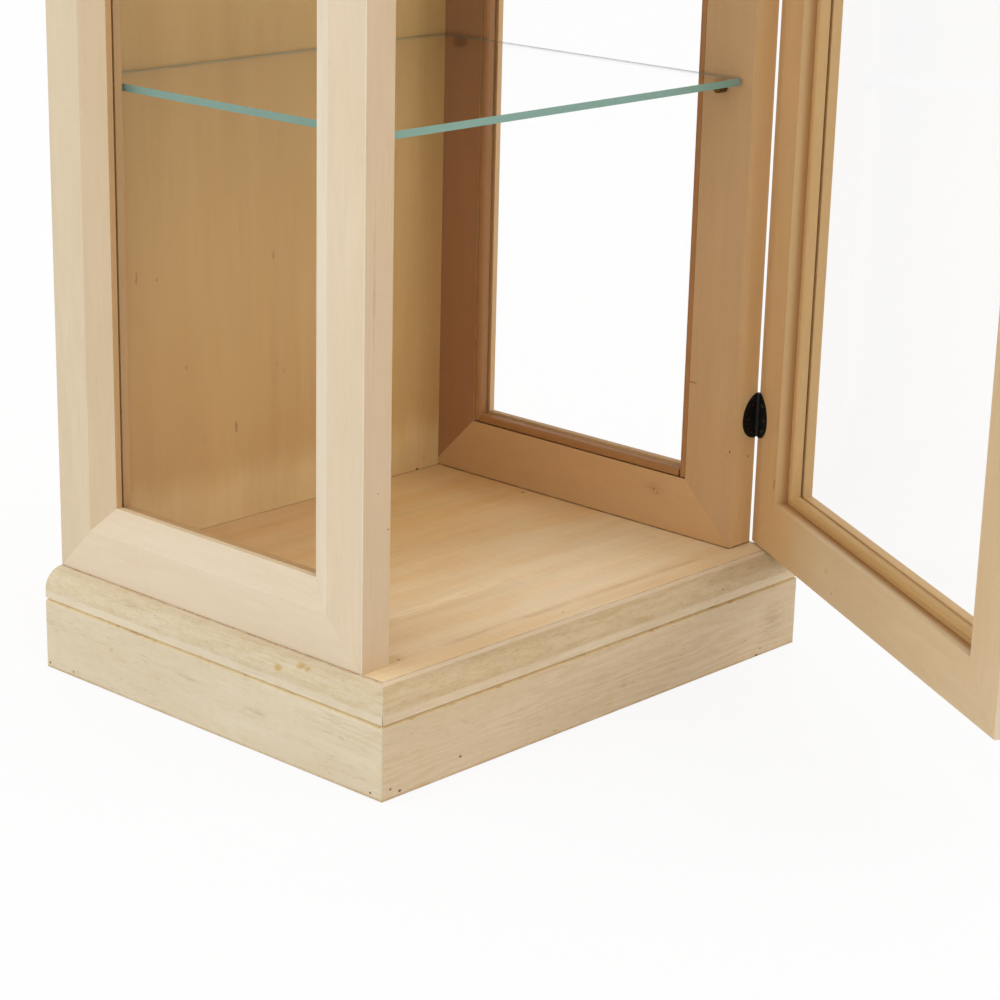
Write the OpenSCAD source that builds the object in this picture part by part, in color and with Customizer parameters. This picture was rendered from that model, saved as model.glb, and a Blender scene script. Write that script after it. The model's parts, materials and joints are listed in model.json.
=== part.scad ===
// Tall glazed display cabinet with one door.
// A mitred plinth carries two mitred, bevelled side frames, a back panel and a mirrored top.
// The door hangs on three butterfly hinges and is drawn open, as it rests.
// Millimetres, +Z up. The front faces -Y. The origin is the middle of the front plinth board's underside.

/* [Overall] */
// Overall height of the cabinet
cabinet_h = 1750; // [1300:10:2100]
// Width of the base and of the top
base_w = 510; // [440:5:700]
// Depth of the base and of the top
base_d = 400; // [330:5:500]
// How far the door stands open
door_open = 59.5; // [0:0.5:160]

/* [Base and top] */
// Height of the plinth boards
plinth_h = 61; // [55:1:90]
// Height of the fascia boards at the top
fascia_h = 40; // [30:1:80]
// Height of the rounded moulding next to the plinth and the fascia
moulding_h = 26; // [23:1:34]
// Thickness of the plinth, moulding and fascia boards
board_t = 19; // [16:1:24]
// Radius of the moulding's rounded edge
moulding_r = 18; // [10:1:20]
// Height of the V groove where the moulding meets its board
groove_h = 3; // [2:0.5:5]
// Depth of the V groove
groove_d = 2.5; // [1.5:0.5:4]
// Rounding of the upright front corners of the base and of the top
corner_r = 3; // [1:0.5:6]
// Rounding of the lowest and the highest long edges
rim_r = 2; // [0.5:0.5:4]
// Thickness of the floor board and of the ceiling board
floor_t = 18; // [15:1:21]
// Side of the square cleats under the floor board
cleat = 20; // [16:1:26]
// Leg of the three-cornered blocks in the plinth's corners
corner_block = 32; // [20:1:45]
// Thickness of the cover that closes the top
cover_t = 6; // [4:1:9]
// Width of the ledge that the cover lies on
cover_ledge = 8; // [5:1:10]

/* [Side frames] */
// Distance from the side of the base to the outer face of a side frame
side_setback = 18; // [12:1:24]
// Distance from the front of the base to the front of the side frames
front_setback = 41; // [38:1:60]
// Thickness of a side frame's members
frame_t = 29.5; // [27:0.5:34]
// Width of a side frame's members
member_w = 61; // [54:1:80]
// Width of the bevel that slopes in to the glass
bevel_w = 22; // [12:1:28]
// Depth of a side frame's bevel at the glass
bevel_d = 10.3; // [7:0.1:12]
// Width of the rebate that holds the glass of a side frame
rebate_w = 9; // [7:0.5:12]
// Thickness of the side frames' glazing beads
bead_t = 9.5; // [7:0.5:11]
// Gap that shows between a side frame and its beads, apart from those on the front stile
bead_gap = 1.4; // [0.3:0.1:2]
// Radius of the beads' rounded edge
bead_r = 3.6; // [2:0.2:4]
// Thickness of the panes
glass_t = 4; // [3:0.5:5]
// Rounding of the frames' long outer edges
edge_r = 0.8; // [0.5:0.1:2]

/* [Back panel] */
// Thickness of the back panel
back_t = 5; // [4:0.5:8]
// How far the back panel lies in from the back of the side frames
back_inset = 2.5; // [1:0.5:5]
// How far the back panel reaches into the back stiles
back_rebate = 8; // [6:1:12]

/* [Door] */
// Thickness of the door's members
door_t = 38.5; // [35:0.5:42]
// Width of the door's members
door_member_w = 55; // [50:1:70]
// Width of the rebate that holds the door's glass
door_rebate_w = 8; // [7:0.5:11]
// Depth of the door's bevel at the glass, as wide as the side frames' bevel
door_bevel_d = 6.5; // [4:0.5:9]
// Depth of the door's beads below its inner face
door_recess = 11.5; // [8:0.5:14]
// Thickness of the door's glazing beads
door_bead_t = 8.5; // [6:0.5:10]
// Gap above and below the door
door_end_gap = 2; // [1:0.5:4]
// Height of the knob above the ground
knob_z = 900; // [700:10:1100]

/* [Hinges] */
// Number of hinges
hinge_count = 3; // [2:1:4]
// Distance from the frame's end to the middle of the first hinge
hinge_end = 116; // [60:1:200]
// Height of a hinge
leaf_h = 40; // [34:1:50]
// Width of one leaf, from the pin's axis
leaf_w = 19.5; // [16:0.5:24]
// Height of a leaf's widest place above its lower end
leaf_belly = 17; // [12:1:19]
// Thickness of a leaf
leaf_t = 0.8; // [0.7:0.1:1.4]
// Outer radius of the knuckles
knuckle_r = 2.5; // [2:0.1:3]
// Radius of the hinge pin
pin_r = 1.2; // [0.9:0.1:1.4]
// Number of knuckles on a hinge
knuckles = 5; // [3:2:7]

/* [Shelves] */
// Thickness of a shelf
shelf_t = 6; // [4:1:10]
// Distance from the frames' front to the front edge of a shelf
shelf_front = 12; // [8:1:40]
// Gap between a shelf and what stands beside it
shelf_gap = 2; // [1:0.5:4]
// Radius of a shelf pin's collar
shelf_pin_r = 4; // [3:0.5:6]
// Radius of a shelf pin's peg
shelf_peg_r = 2.5; // [2:0.5:2.5]

/* [Hidden] */
$fn = 96;

// How far a cutting shape reaches past what it cuts
over = 1;
// How far two shapes that are joined reach into each other
join = 0.01;
// Radial clearance of a turning pin in its bore
run_fit = 0.05;
// Clearance round a screw's shank and head
screw_fit = 0.05;
// Clearance of a bead in its rebate and at its ends
bead_fit = 0.3;
// How far a bead stays back from the edge of the lip before the glass, sides and door
bead_inset = 1.5;
door_bead_inset = 0.4;
// Clearance of a pane in its rebate
glass_fit = 1.5;
// Clearance of the back panel and the top cover in their rebates
panel_fit = 0.5;

// Levels, from the ground up
floor_z = plinth_h + moulding_h;
ceiling_z = cabinet_h - fascia_h - moulding_h;
inner_h = ceiling_z - floor_z;
floor_under = floor_z - floor_t;

// Planes of the base and of the side frames
base_front = -board_t / 2;
base_back = base_front + base_d;
frame_x = base_w / 2 - side_setback;
inner_x = frame_x - frame_t;
frame_front = base_front + front_setback;
frame_back = base_back;
frame_depth = frame_back - frame_front;
panel_back = frame_back - back_inset;
panel_front = panel_back - back_t;
board_in_x = base_w / 2 - board_t;
board_in_y = base_front + board_t;

// What is left of a member for the lip in front of the glass
flat_w = member_w - bevel_w;
lip_t = frame_t - bevel_d - glass_t - bead_t;
door_flat_w = door_member_w - bevel_w;
door_lip_t = door_t - door_bevel_d - glass_t - door_bead_t - door_recess;
door_bead_w = door_rebate_w - bead_fit - door_bead_inset;

// The closed door stands in front of the frames by two leaves and their play
leaf_play = 0.3;
door_gap = 2 * leaf_t + leaf_play;
door_w = 2 * frame_x;
door_h = inner_h - 2 * door_end_gap;
door_z = floor_z + door_end_gap;
door_in_y = frame_front - door_gap;
door_out_y = door_in_y - door_t;

// The hinge line runs level with the right frame's outer face
axis_x = frame_x;
axis_y = frame_front - door_gap / 2;
hinge_low = floor_z + hinge_end;
hinge_high = ceiling_z - hinge_end;
hinge_zs = [for (i = [0 : hinge_count - 1])
    hinge_low + i * (hinge_high - hinge_low) / (hinge_count - 1)];
knuckle_gap = 0.2;
// The leaves reach past the barrel by this at both ends
barrel_end = 1;
barrel_h = leaf_h - 2 * barrel_end;
knuckle_pitch = barrel_h / knuckles;
// The hollow that the barrel lies in, cut into stile and door, is larger by this
gain_fit = 0.3;
gain_r = knuckle_r + gain_fit;

// Screws of the hinges: places on a leaf, from the axis and from its lower end
hinge_shank_r = 1.2;
hinge_head_r = 2.3;
hinge_screw_len = 14;
hinge_holes = [
    [0.40 * leaf_w, 0.735 * leaf_h],
    [0.67 * leaf_w, 0.445 * leaf_h],
    [0.40 * leaf_w, 0.178 * leaf_h]];

// Screws of the back panel, five down each side
back_shank_r = 1.5;
back_head_r = 3;
back_head_h = 2;
back_screw_len = 18;
back_screw_x = inner_x + back_rebate / 2;
back_screw_end = 60;
back_screw_count = 5;
back_screw_zs = [for (i = [0 : back_screw_count - 1])
    floor_z + back_screw_end + i * (inner_h - 2 * back_screw_end) / (back_screw_count - 1)];

// Long screws that hold the side frames to the floor and to the ceiling
long_shank_r = 2;
long_head_r = 4;
long_head_h = 3;
rail_bite = 26;
long_screw_x = frame_x - frame_t / 2;
long_screw_end = 75;
long_screw_ys = [frame_front + long_screw_end, frame_back - long_screw_end];
lower_screw_z = floor_under - cleat;
lower_screw_len = cleat + floor_t + rail_bite;
upper_screw_z = ceiling_z + floor_t;
upper_screw_len = floor_t + rail_bite;

// Shelves and their pins
shelf_names = ["lower", "middle", "upper"];
shelf_pitch = inner_h / (len(shelf_names) + 1);
shelf_peg_len = 10;
shelf_collar_len = 9;
shelf_pin_ys = [frame_front + member_w / 2, frame_back - member_w / 2];

// Knob on the free stile
knob_x = -frame_x + door_flat_w / 2;
knob_screw_r = 2;
knob_head_r = 4;
knob_head_h = 2.4;
knob_bite = 10;
// Depth of the screw's head below the wood, and the room round it
knob_head_sunk = 0.6;
knob_head_fit = 0.5;

// Magnetic catch under the ceiling board, near the door's free side
catch_x = -inner_x + 70;
catch_body = [32, 15, 12];
catch_ear = [9, 11, 3];
catch_play = 0.3;
catch_pole_t = 1.6;
catch_pole_out = 0.8;
catch_pole_end = 4;
catch_pole_pitch = 6;
catch_shank_r = 1.5;
catch_head_r = 2.8;
catch_head_h = 1.6;
catch_screw_len = 14;
strike_t = 1;
strike_size = [30, 8];
strike_up = 1;
strike_z = ceiling_z - catch_body[2] + strike_up + strike_size[1] / 2;
catch_front = door_in_y + strike_t + catch_play;
catch_hole_x = catch_body[0] / 2 + catch_ear[0] / 2;
catch_hole_y = catch_front + catch_pole_out + catch_body[1] / 2;

// Colours
limed_wood = [0.88, 0.79, 0.63];
frame_wood = [0.90, 0.80, 0.62];
board_wood = [0.87, 0.72, 0.53];
inside_wood = [0.80, 0.69, 0.52];
clear_glass = [0.85, 0.93, 0.92, 0.35];
black_iron = [0.08, 0.08, 0.08];
brass = [0.72, 0.58, 0.32];
steel = [0.62, 0.62, 0.62];

// What is cut from a corner at the origin, of a shape in the first quadrant, to round it
module corner_cut(r) {
    difference() {
        translate([-over, -over]) square(r + over);
        translate([r, r]) circle(r);
    }
}

// Plan of base and top: the two front corners are rounded
module eased_plan(h) {
    linear_extrude(h) difference() {
        translate([-base_w / 2, base_front]) square([base_w, base_d]);
        for (side = [0, 1]) mirror([side, 0])
            translate([-base_w / 2, base_front]) corner_cut(corner_r);
    }
}

// A board along the front, mitred at both ends. children() is its section: depth, height
module front_board(h) {
    intersection() {
        eased_plan(h);
        translate([-base_w / 2, base_front, 0])
            rotate([90, 0, 90]) linear_extrude(base_w) children();
        translate([0, 0, -over]) linear_extrude(h + 2 * over) polygon([
            [-base_w / 2 - over, base_front - over],
            [base_w / 2 + over, base_front - over],
            [base_w / 2 - board_t - over, board_in_y + over],
            [-base_w / 2 + board_t + over, board_in_y + over]]);
    }
}

// A board along the left side, mitred at the front and square at the back
module left_board(h) {
    intersection() {
        eased_plan(h);
        translate([-base_w / 2, base_back, 0])
            rotate([90, 0, 0]) linear_extrude(base_d) children();
        translate([0, 0, -over]) linear_extrude(h + 2 * over) polygon([
            [-base_w / 2 - over, base_front - over],
            [-base_w / 2 + board_t + over, board_in_y + over],
            [-base_w / 2 + board_t + over, base_back + over],
            [-base_w / 2 - over, base_back + over]]);
    }
}

// Section of a plinth board: eased below, half of the V groove above
module plinth_section() {
    difference() {
        square([board_t, plinth_h]);
        corner_cut(rim_r);
        polygon([[-over, plinth_h + over], [-over, plinth_h - groove_h / 2 * (1 + over / groove_d)],
            [groove_d, plinth_h], [groove_d, plinth_h + over]]);
    }
}

// Section of a fascia board: the other half of its groove below, a ledge for the cover above
module fascia_section() {
    difference() {
        square([board_t, fascia_h]);
        translate([0, fascia_h]) mirror([0, 1]) corner_cut(rim_r);
        translate([board_t - cover_ledge, fascia_h - cover_t])
            square([cover_ledge + over, cover_t + over]);
        polygon([[-over, -over], [-over, groove_h / 2 * (1 + over / groove_d)],
            [groove_d, 0], [groove_d, -over]]);
    }
}

// Section of the moulding: rounded above, half of the V groove below
module moulding_section() {
    round_r = min(moulding_r, board_t, moulding_h - groove_h);
    difference() {
        square([board_t, moulding_h]);
        translate([0, moulding_h]) mirror([0, 1]) corner_cut(round_r);
        polygon([[-over, -over], [-over, groove_h / 2 * (1 + over / groove_d)],
            [groove_d, 0], [groove_d, -over]]);
    }
}

// A countersunk screw along +Z, head first, its flat top at the origin
module screw(head_r, head_h, shank_r, length) {
    cylinder(h = head_h, r1 = head_r, r2 = shank_r);
    translate([0, 0, head_h - join]) cylinder(h = length - head_h + join, r = shank_r);
}

// The hole for such a screw
module screw_hole(head_r, head_h, shank_r, length) {
    translate([0, 0, -over]) cylinder(h = over + join, r = head_r + screw_fit);
    cylinder(h = head_h, r1 = head_r + screw_fit, r2 = shank_r + screw_fit);
    cylinder(h = length + over, r = shank_r + screw_fit);
}

// Section of a frame member: depth from the outer face, distance from the outer edge
module member_section(w, thick, flat, bevel, rebate, lip) {
    difference() {
        polygon([[0, 0], [0, flat], [bevel, w], [bevel + lip, w],
            [bevel + lip, w - rebate], [thick, w - rebate], [thick, 0]]);
        corner_cut(edge_r);
        translate([thick, 0]) mirror([1, 0]) corner_cut(edge_r);
    }
}

// Section of a glazing bead from one distance from the outer edge to another, with a rounded edge
module bead_section(from, to, thick, face) {
    width = to - from;
    translate([face - thick, from]) difference() {
        square([thick, width]);
        translate([thick, width]) mirror([1, 0]) mirror([0, 1]) corner_cut(bead_r);
    }
}

// A strip along +X, mitred at both ends, with the section of children()
module mitred_strip(length, w) {
    deepest = max(frame_t, door_t);
    intersection() {
        rotate([90, 0, 90]) linear_extrude(length) children();
        translate([0, deepest + over, 0]) rotate([90, 0, 0])
            linear_extrude(deepest + 2 * over) polygon([
                [-over, -over], [length + over, -over],
                [length - w - over, w + over], [w + over, w + over]]);
    }
}

// A strip along +X, cut square at a distance from both ends, with the section of children()
module square_strip(length, short) {
    translate([short, 0, 0]) rotate([90, 0, 90]) linear_extrude(length - 2 * short) children();
}

function upright(side) = side == "left" || side == "right";

// Turns a strip to one side of a frame that is w wide and h high: below, above, left or right
module frame_turn(side, w, h) {
    if (side == "below") children();
    if (side == "above") translate([0, 0, h]) mirror([0, 0, 1]) children();
    if (side == "left") mirror([1, 0, -1]) children();
    if (side == "right") translate([w, 0, 0]) mirror([1, 0, 0]) mirror([1, 0, -1]) children();
}

module frame_side(side, w, h, member) {
    frame_turn(side, w, h) mitred_strip(upright(side) ? h : w, member) children();
}

// The left side frame's place: its own width runs back, its depth runs inwards
module left_place() {
    translate([-frame_x, frame_front, floor_z]) mirror([1, -1, 0]) children();
}

module side_member(side) {
    left_place() frame_side(side, frame_depth, inner_h, member_w)
        member_section(member_w, frame_t, flat_w, bevel_d, rebate_w, lip_t);
}

// A bead of the left frame. The upright beads run past the cross beads, which fit between them
module side_bead(side) {
    wall = member_w - rebate_w;
    from = wall + (side == "left" ? bead_fit : bead_gap);
    to = member_w - bead_inset;
    left_place() frame_turn(side, frame_depth, inner_h)
        square_strip(upright(side) ? inner_h : frame_depth, upright(side) ? wall + bead_gap : to + bead_fit)
            bead_section(from, to, bead_t, frame_t);
}

module side_pane() {
    inset = member_w - rebate_w + glass_fit;
    left_place() translate([inset, bevel_d + lip_t, inset])
        cube([frame_depth - 2 * inset, glass_t, inner_h - 2 * inset]);
}

// The strip of the left back stile and of its rails that the back panel lies in
module back_slot() {
    translate([-inner_x - back_rebate, panel_front, floor_z - over])
        cube([back_rebate + over, back_t + back_inset + over, inner_h + 2 * over]);
}

module back_screw_holes() {
    for (z = back_screw_zs) translate([-back_screw_x, panel_back, z]) rotate([90, 0, 0])
        screw_hole(back_head_r, back_head_h, back_shank_r, back_screw_len);
}

// The pegs' holes in the left frame, for the two pins of each shelf on that side
module shelf_pin_place() {
    for (i = [1 : len(shelf_names)], y = shelf_pin_ys)
        translate([-inner_x, y, floor_z + i * shelf_pitch - shelf_pin_r]) rotate([0, 90, 0])
            children();
}

module shelf_peg_holes() {
    shelf_pin_place() translate([0, 0, -shelf_peg_len - over])
        cylinder(h = shelf_peg_len + 2 * over, r = shelf_peg_r + screw_fit);
}

// The long screws of the left frame, the lower ones from below and the upper ones from above
module lower_long_place() {
    for (y = long_screw_ys) translate([-long_screw_x, y, lower_screw_z]) children();
}

module upper_long_place() {
    for (y = long_screw_ys) translate([-long_screw_x, y, upper_screw_z])
        rotate([180, 0, 0]) children();
}

module lower_long_holes() {
    lower_long_place() screw_hole(long_head_r, long_head_h, long_shank_r, lower_screw_len);
}

module upper_long_holes() {
    upper_long_place() screw_hole(long_head_r, long_head_h, long_shank_r, upper_screw_len);
}

// Places of the hinges and of the three screws of a leaf, along the axis of the hinges
module at_hinges() {
    for (z = hinge_zs) translate([axis_x, axis_y, z]) children();
}

module at_leaf_holes() {
    for (p = hinge_holes) translate([-p[0], 0, p[1] - leaf_h / 2]) children();
}

// The round hollow for the barrels, in the stile and in the door
module barrel_gains() {
    at_hinges() cylinder(h = barrel_h + 2 * gain_fit, r = gain_r, center = true);
}

module frame_leaf_holes() {
    at_hinges() at_leaf_holes() translate([0, door_gap / 2 - leaf_t, 0]) rotate([-90, 0, 0])
        screw_hole(hinge_head_r, leaf_t, hinge_shank_r, hinge_screw_len);
}

module door_leaf_holes() {
    at_hinges() at_leaf_holes() translate([0, leaf_t - door_gap / 2, 0]) rotate([90, 0, 0])
        screw_hole(hinge_head_r, leaf_t, hinge_shank_r, hinge_screw_len);
}

// Half of an egg with a pointed top: a leaf seen from the front, from the axis outwards
module leaf_outline() {
    rise = leaf_h - leaf_belly;
    top_r = (leaf_w * leaf_w + rise * rise) / (2 * leaf_w);
    translate([0, -leaf_h / 2]) {
        intersection() {
            translate([leaf_w - leaf_belly, leaf_belly]) circle(leaf_belly);
            square([leaf_w + over, leaf_belly]);
        }
        square([leaf_w - leaf_belly, leaf_belly]);
        intersection() {
            translate([leaf_w - top_r, leaf_belly]) circle(top_r);
            translate([0, leaf_belly]) square([leaf_w + over, rise]);
        }
    }
}

// The knuckles with even or odd numbers, made longer by grow at both ends
module knuckle_row(first, r, grow) {
    for (i = [first : 2 : knuckles - 1])
        translate([0, 0, -barrel_h / 2 + i * knuckle_pitch - grow])
            cylinder(h = knuckle_pitch + 2 * grow, r = r);
}

// One leaf on the plane y = 0 to leaf_t beside the axis, with its own row of knuckles
module leaf(first, plane_y) {
    difference() {
        union() {
            translate([0, plane_y + leaf_t, 0]) mirror([1, 0, 0]) rotate([90, 0, 0])
                linear_extrude(leaf_t) leaf_outline();
            knuckle_row(first, knuckle_r, 0);
        }
        knuckle_row(1 - first, knuckle_r + leaf_play, knuckle_gap / 2);
        cylinder(h = leaf_h + 2 * over, r = pin_r + run_fit, center = true);
    }
}

// The door's members, drawn closed and then swung open about the hinge line
module swung() {
    translate([axis_x, axis_y, 0]) rotate([0, 0, door_open])
        translate([-axis_x, -axis_y, 0]) children();
}

module door_place() {
    translate([-door_w / 2, door_out_y, door_z]) children();
}

module door_member(side) {
    door_place() frame_side(side, door_w, door_h, door_member_w)
        member_section(door_member_w, door_t, door_flat_w, door_bevel_d, door_rebate_w, door_lip_t);
}

module door_bead(side) {
    door_place() frame_side(side, door_w, door_h, door_member_w)
        bead_section(door_member_w - door_rebate_w + bead_fit, door_member_w - door_bead_inset,
            door_bead_t, door_t - door_recess);
}

module knob_place() {
    translate([knob_x, door_in_y, knob_z]) rotate([90, 0, 0]) children();
}

// Base
module plinth_front() { color(limed_wood) front_board(plinth_h) plinth_section(); }
module plinth_left() { color(limed_wood) left_board(plinth_h) plinth_section(); }
module plinth_right() { color(limed_wood) mirror([1, 0, 0]) left_board(plinth_h) plinth_section(); }

module plinth_back_rail() {
    color(inside_wood) translate([-board_in_x, base_back - board_t, 0])
        cube([2 * board_in_x, board_t, floor_under]);
}

module plinth_corner_blocks() {
    lift = 2;
    block_h = floor_under - cleat - 2 * lift;
    half_d = base_d / 2 - board_t;
    color(inside_wood) translate([0, board_in_y + half_d, lift])
        for (left = [0, 1], back = [0, 1]) mirror([left, 0, 0]) mirror([0, back, 0])
            translate([-board_in_x, -half_d, 0]) linear_extrude(block_h)
                polygon([[0, 0], [corner_block, 0], [0, corner_block]]);
}

module floor_cleats() {
    side_len = base_d - 2 * board_t;
    color(inside_wood) translate([0, 0, floor_under - cleat]) {
        for (side = [0, 1]) mirror([side, 0, 0]) difference() {
            translate([-board_in_x, board_in_y, 0]) cube([cleat, side_len, cleat]);
            translate([0, 0, cleat - floor_under]) lower_long_holes();
        }
        translate([-board_in_x + cleat, board_in_y, 0])
            cube([2 * (board_in_x - cleat), cleat, cleat]);
    }
}

module base_moulding_front() {
    color(limed_wood) translate([0, 0, plinth_h]) front_board(moulding_h) moulding_section();
}

module base_moulding_left() {
    color(limed_wood) translate([0, 0, plinth_h]) left_board(moulding_h) moulding_section();
}

module base_moulding_right() { mirror([1, 0, 0]) base_moulding_left(); }

module floor_board() {
    color(board_wood) difference() {
        translate([-board_in_x, board_in_y, floor_under])
            cube([2 * board_in_x, base_d - board_t, floor_t]);
        for (side = [0, 1]) mirror([side, 0, 0]) lower_long_holes();
    }
}

// Side frames
module left_front_stile() {
    color(frame_wood) difference() { side_member("left"); shelf_peg_holes(); }
}

module left_back_stile() {
    color(frame_wood) difference() {
        side_member("right");
        back_slot();
        back_screw_holes();
        shelf_peg_holes();
    }
}

module left_bottom_rail() {
    color(frame_wood) difference() { side_member("below"); back_slot(); lower_long_holes(); }
}

module left_top_rail() {
    color(frame_wood) difference() { side_member("above"); back_slot(); upper_long_holes(); }
}

module left_glass() { color(clear_glass) side_pane(); }
module left_upright_beads() { color(frame_wood) { side_bead("left"); side_bead("right"); } }
module left_cross_beads() { color(frame_wood) { side_bead("below"); side_bead("above"); } }

module right_front_stile() {
    color(frame_wood) difference() {
        mirror([1, 0, 0]) side_member("left");
        mirror([1, 0, 0]) shelf_peg_holes();
        barrel_gains();
        frame_leaf_holes();
    }
}

module right_back_stile() { mirror([1, 0, 0]) left_back_stile(); }
module right_bottom_rail() { mirror([1, 0, 0]) left_bottom_rail(); }
module right_top_rail() { mirror([1, 0, 0]) left_top_rail(); }
module right_glass() { mirror([1, 0, 0]) left_glass(); }
module right_upright_beads() { mirror([1, 0, 0]) left_upright_beads(); }
module right_cross_beads() { mirror([1, 0, 0]) left_cross_beads(); }

module back_panel() {
    half = inner_x + back_rebate - panel_fit;
    color(inside_wood) difference() {
        translate([-half, panel_front, floor_z]) cube([2 * half, back_t, inner_h]);
        for (side = [0, 1]) mirror([side, 0, 0]) back_screw_holes();
    }
}

module back_panel_screws() {
    color(steel) for (side = [0, 1], z = back_screw_zs) mirror([side, 0, 0])
        translate([-back_screw_x, panel_back, z]) rotate([90, 0, 0])
            screw(back_head_r, back_head_h, back_shank_r, back_screw_len);
}

// Top
module ceiling_board() {
    color(board_wood) difference() {
        translate([-board_in_x, board_in_y, ceiling_z])
            cube([2 * board_in_x, base_d - board_t, floor_t]);
        for (side = [0, 1]) mirror([side, 0, 0]) upper_long_holes();
        catch_place() catch_holes();
    }
}

module cornice_place() {
    translate([0, 0, ceiling_z + moulding_h]) mirror([0, 0, 1]) children();
}

module cornice_front() { color(limed_wood) cornice_place() front_board(moulding_h) moulding_section(); }
module cornice_left() { color(limed_wood) cornice_place() left_board(moulding_h) moulding_section(); }
module cornice_right() { mirror([1, 0, 0]) cornice_left(); }

module fascia_place() { translate([0, 0, ceiling_z + moulding_h]) children(); }
module fascia_front() { color(limed_wood) fascia_place() front_board(fascia_h) fascia_section(); }
module fascia_left() { color(limed_wood) fascia_place() left_board(fascia_h) fascia_section(); }
module fascia_right() { mirror([1, 0, 0]) fascia_left(); }

module fascia_back_rail() {
    rail_z = ceiling_z + floor_t;
    color(inside_wood) difference() {
        translate([-board_in_x, base_back - board_t, rail_z])
            cube([2 * board_in_x, board_t, cabinet_h - rail_z]);
        translate([-board_in_x - over, base_back - board_t - over, cabinet_h - cover_t])
            cube([2 * (board_in_x + over), cover_ledge + over, cover_t + over]);
    }
}

module top_cover() {
    half = board_in_x + cover_ledge - panel_fit;
    front = board_in_y - cover_ledge + panel_fit;
    back = base_back - board_t + cover_ledge - panel_fit;
    color(inside_wood) translate([-half, front, cabinet_h - cover_t])
        cube([2 * half, back - front, cover_t]);
}

module lower_frame_screws() {
    color(steel) for (side = [0, 1]) mirror([side, 0, 0]) lower_long_place()
        screw(long_head_r, long_head_h, long_shank_r, lower_screw_len);
}

module upper_frame_screws() {
    color(steel) for (side = [0, 1]) mirror([side, 0, 0]) upper_long_place()
        screw(long_head_r, long_head_h, long_shank_r, upper_screw_len);
}

// Shelves, counted from below
module shelf(i) {
    half = inner_x - shelf_gap;
    front = frame_front + shelf_front;
    color(clear_glass) translate([-half, front, floor_z + i * shelf_pitch])
        cube([2 * half, panel_front - shelf_gap - front, shelf_t]);
}

module shelf_lower() { shelf(1); }
module shelf_middle() { shelf(2); }
module shelf_upper() { shelf(3); }

module shelf_pins() {
    color(brass) for (side = [0, 1]) mirror([side, 0, 0]) shelf_pin_place() {
        translate([0, 0, -shelf_peg_len]) cylinder(h = shelf_peg_len + join, r = shelf_peg_r);
        cylinder(h = shelf_collar_len, r = shelf_pin_r);
    }
}

// Hinges
module hinge_frame_leaves() {
    color(black_iron) difference() {
        at_hinges() leaf(0, door_gap / 2 - leaf_t);
        frame_leaf_holes();
    }
}

module hinge_door_leaves() {
    color(black_iron) swung() difference() {
        at_hinges() leaf(1, -door_gap / 2);
        door_leaf_holes();
    }
}

module hinge_pins() {
    color(black_iron) at_hinges() cylinder(h = barrel_h, r = pin_r, center = true);
}

module hinge_frame_screws() {
    color(brass) at_hinges() at_leaf_holes() translate([0, door_gap / 2 - leaf_t, 0])
        rotate([-90, 0, 0]) screw(hinge_head_r, leaf_t, hinge_shank_r, hinge_screw_len);
}

module hinge_door_screws() {
    color(brass) swung() at_hinges() at_leaf_holes() translate([0, leaf_t - door_gap / 2, 0])
        rotate([90, 0, 0]) screw(hinge_head_r, leaf_t, hinge_shank_r, hinge_screw_len);
}

// Door
module door_hinge_stile() {
    color(frame_wood) swung() difference() {
        door_member("right");
        barrel_gains();
        door_leaf_holes();
    }
}

module door_free_stile() {
    color(frame_wood) swung() difference() {
        door_member("left");
        knob_place() {
            translate([0, 0, -over])
                cylinder(h = door_t + 2 * over, r = knob_screw_r + 2 * screw_fit);
            translate([0, 0, -over])
                cylinder(h = knob_head_h + knob_head_sunk + over, r = knob_head_r + knob_head_fit);
        }
    }
}

module door_bottom_rail() { color(frame_wood) swung() door_member("below"); }

module door_top_rail() {
    color(frame_wood) swung() difference() {
        door_member("above");
        strike_place() strike_hole();
    }
}

module door_glass() {
    inset = door_member_w - door_rebate_w + glass_fit;
    color(clear_glass) swung() door_place() translate([inset, door_bevel_d + door_lip_t, inset])
        cube([door_w - 2 * inset, glass_t, door_h - 2 * inset]);
}

module door_upright_beads() { color(frame_wood) swung() { door_bead("left"); door_bead("right"); } }
module door_cross_beads() { color(frame_wood) swung() { door_bead("below"); door_bead("above"); } }

// Knob on the door's outer face, held by a screw from inside whose head lies in a recess
module door_knob() {
    foot_r = 9;
    foot_h = 3;
    neck_r = 5.5;
    head_r = 14;
    head_z = 19;
    ball_r = 17;
    dome = 9;
    color(black_iron) swung() knob_place() translate([0, 0, door_t]) difference() {
        union() {
            cylinder(h = foot_h, r = foot_r);
            cylinder(h = head_z, r = neck_r);
            intersection() {
                translate([0, 0, head_z + dome - ball_r]) sphere(r = ball_r);
                translate([0, 0, head_z - dome + ball_r]) sphere(r = ball_r);
                cylinder(h = 2 * head_z, r = head_r);
            }
        }
        translate([0, 0, -over]) cylinder(h = knob_bite + 2 * over, r = knob_screw_r + screw_fit);
    }
}

module knob_screw() {
    color(steel) swung() knob_place() translate([0, 0, knob_head_sunk]) {
        cylinder(h = knob_head_h, r = knob_head_r);
        cylinder(h = door_t + knob_bite - knob_head_sunk, r = knob_screw_r);
    }
}

// Magnetic catch, its two ears screwed up into the ceiling board
module catch_place() { translate([catch_x, 0, 0]) children(); }

module catch_holes() {
    for (side = [-1, 1])
        translate([side * catch_hole_x, catch_hole_y, ceiling_z - catch_ear[2]])
            screw_hole(catch_head_r, catch_head_h, catch_shank_r, catch_screw_len);
}

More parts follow.
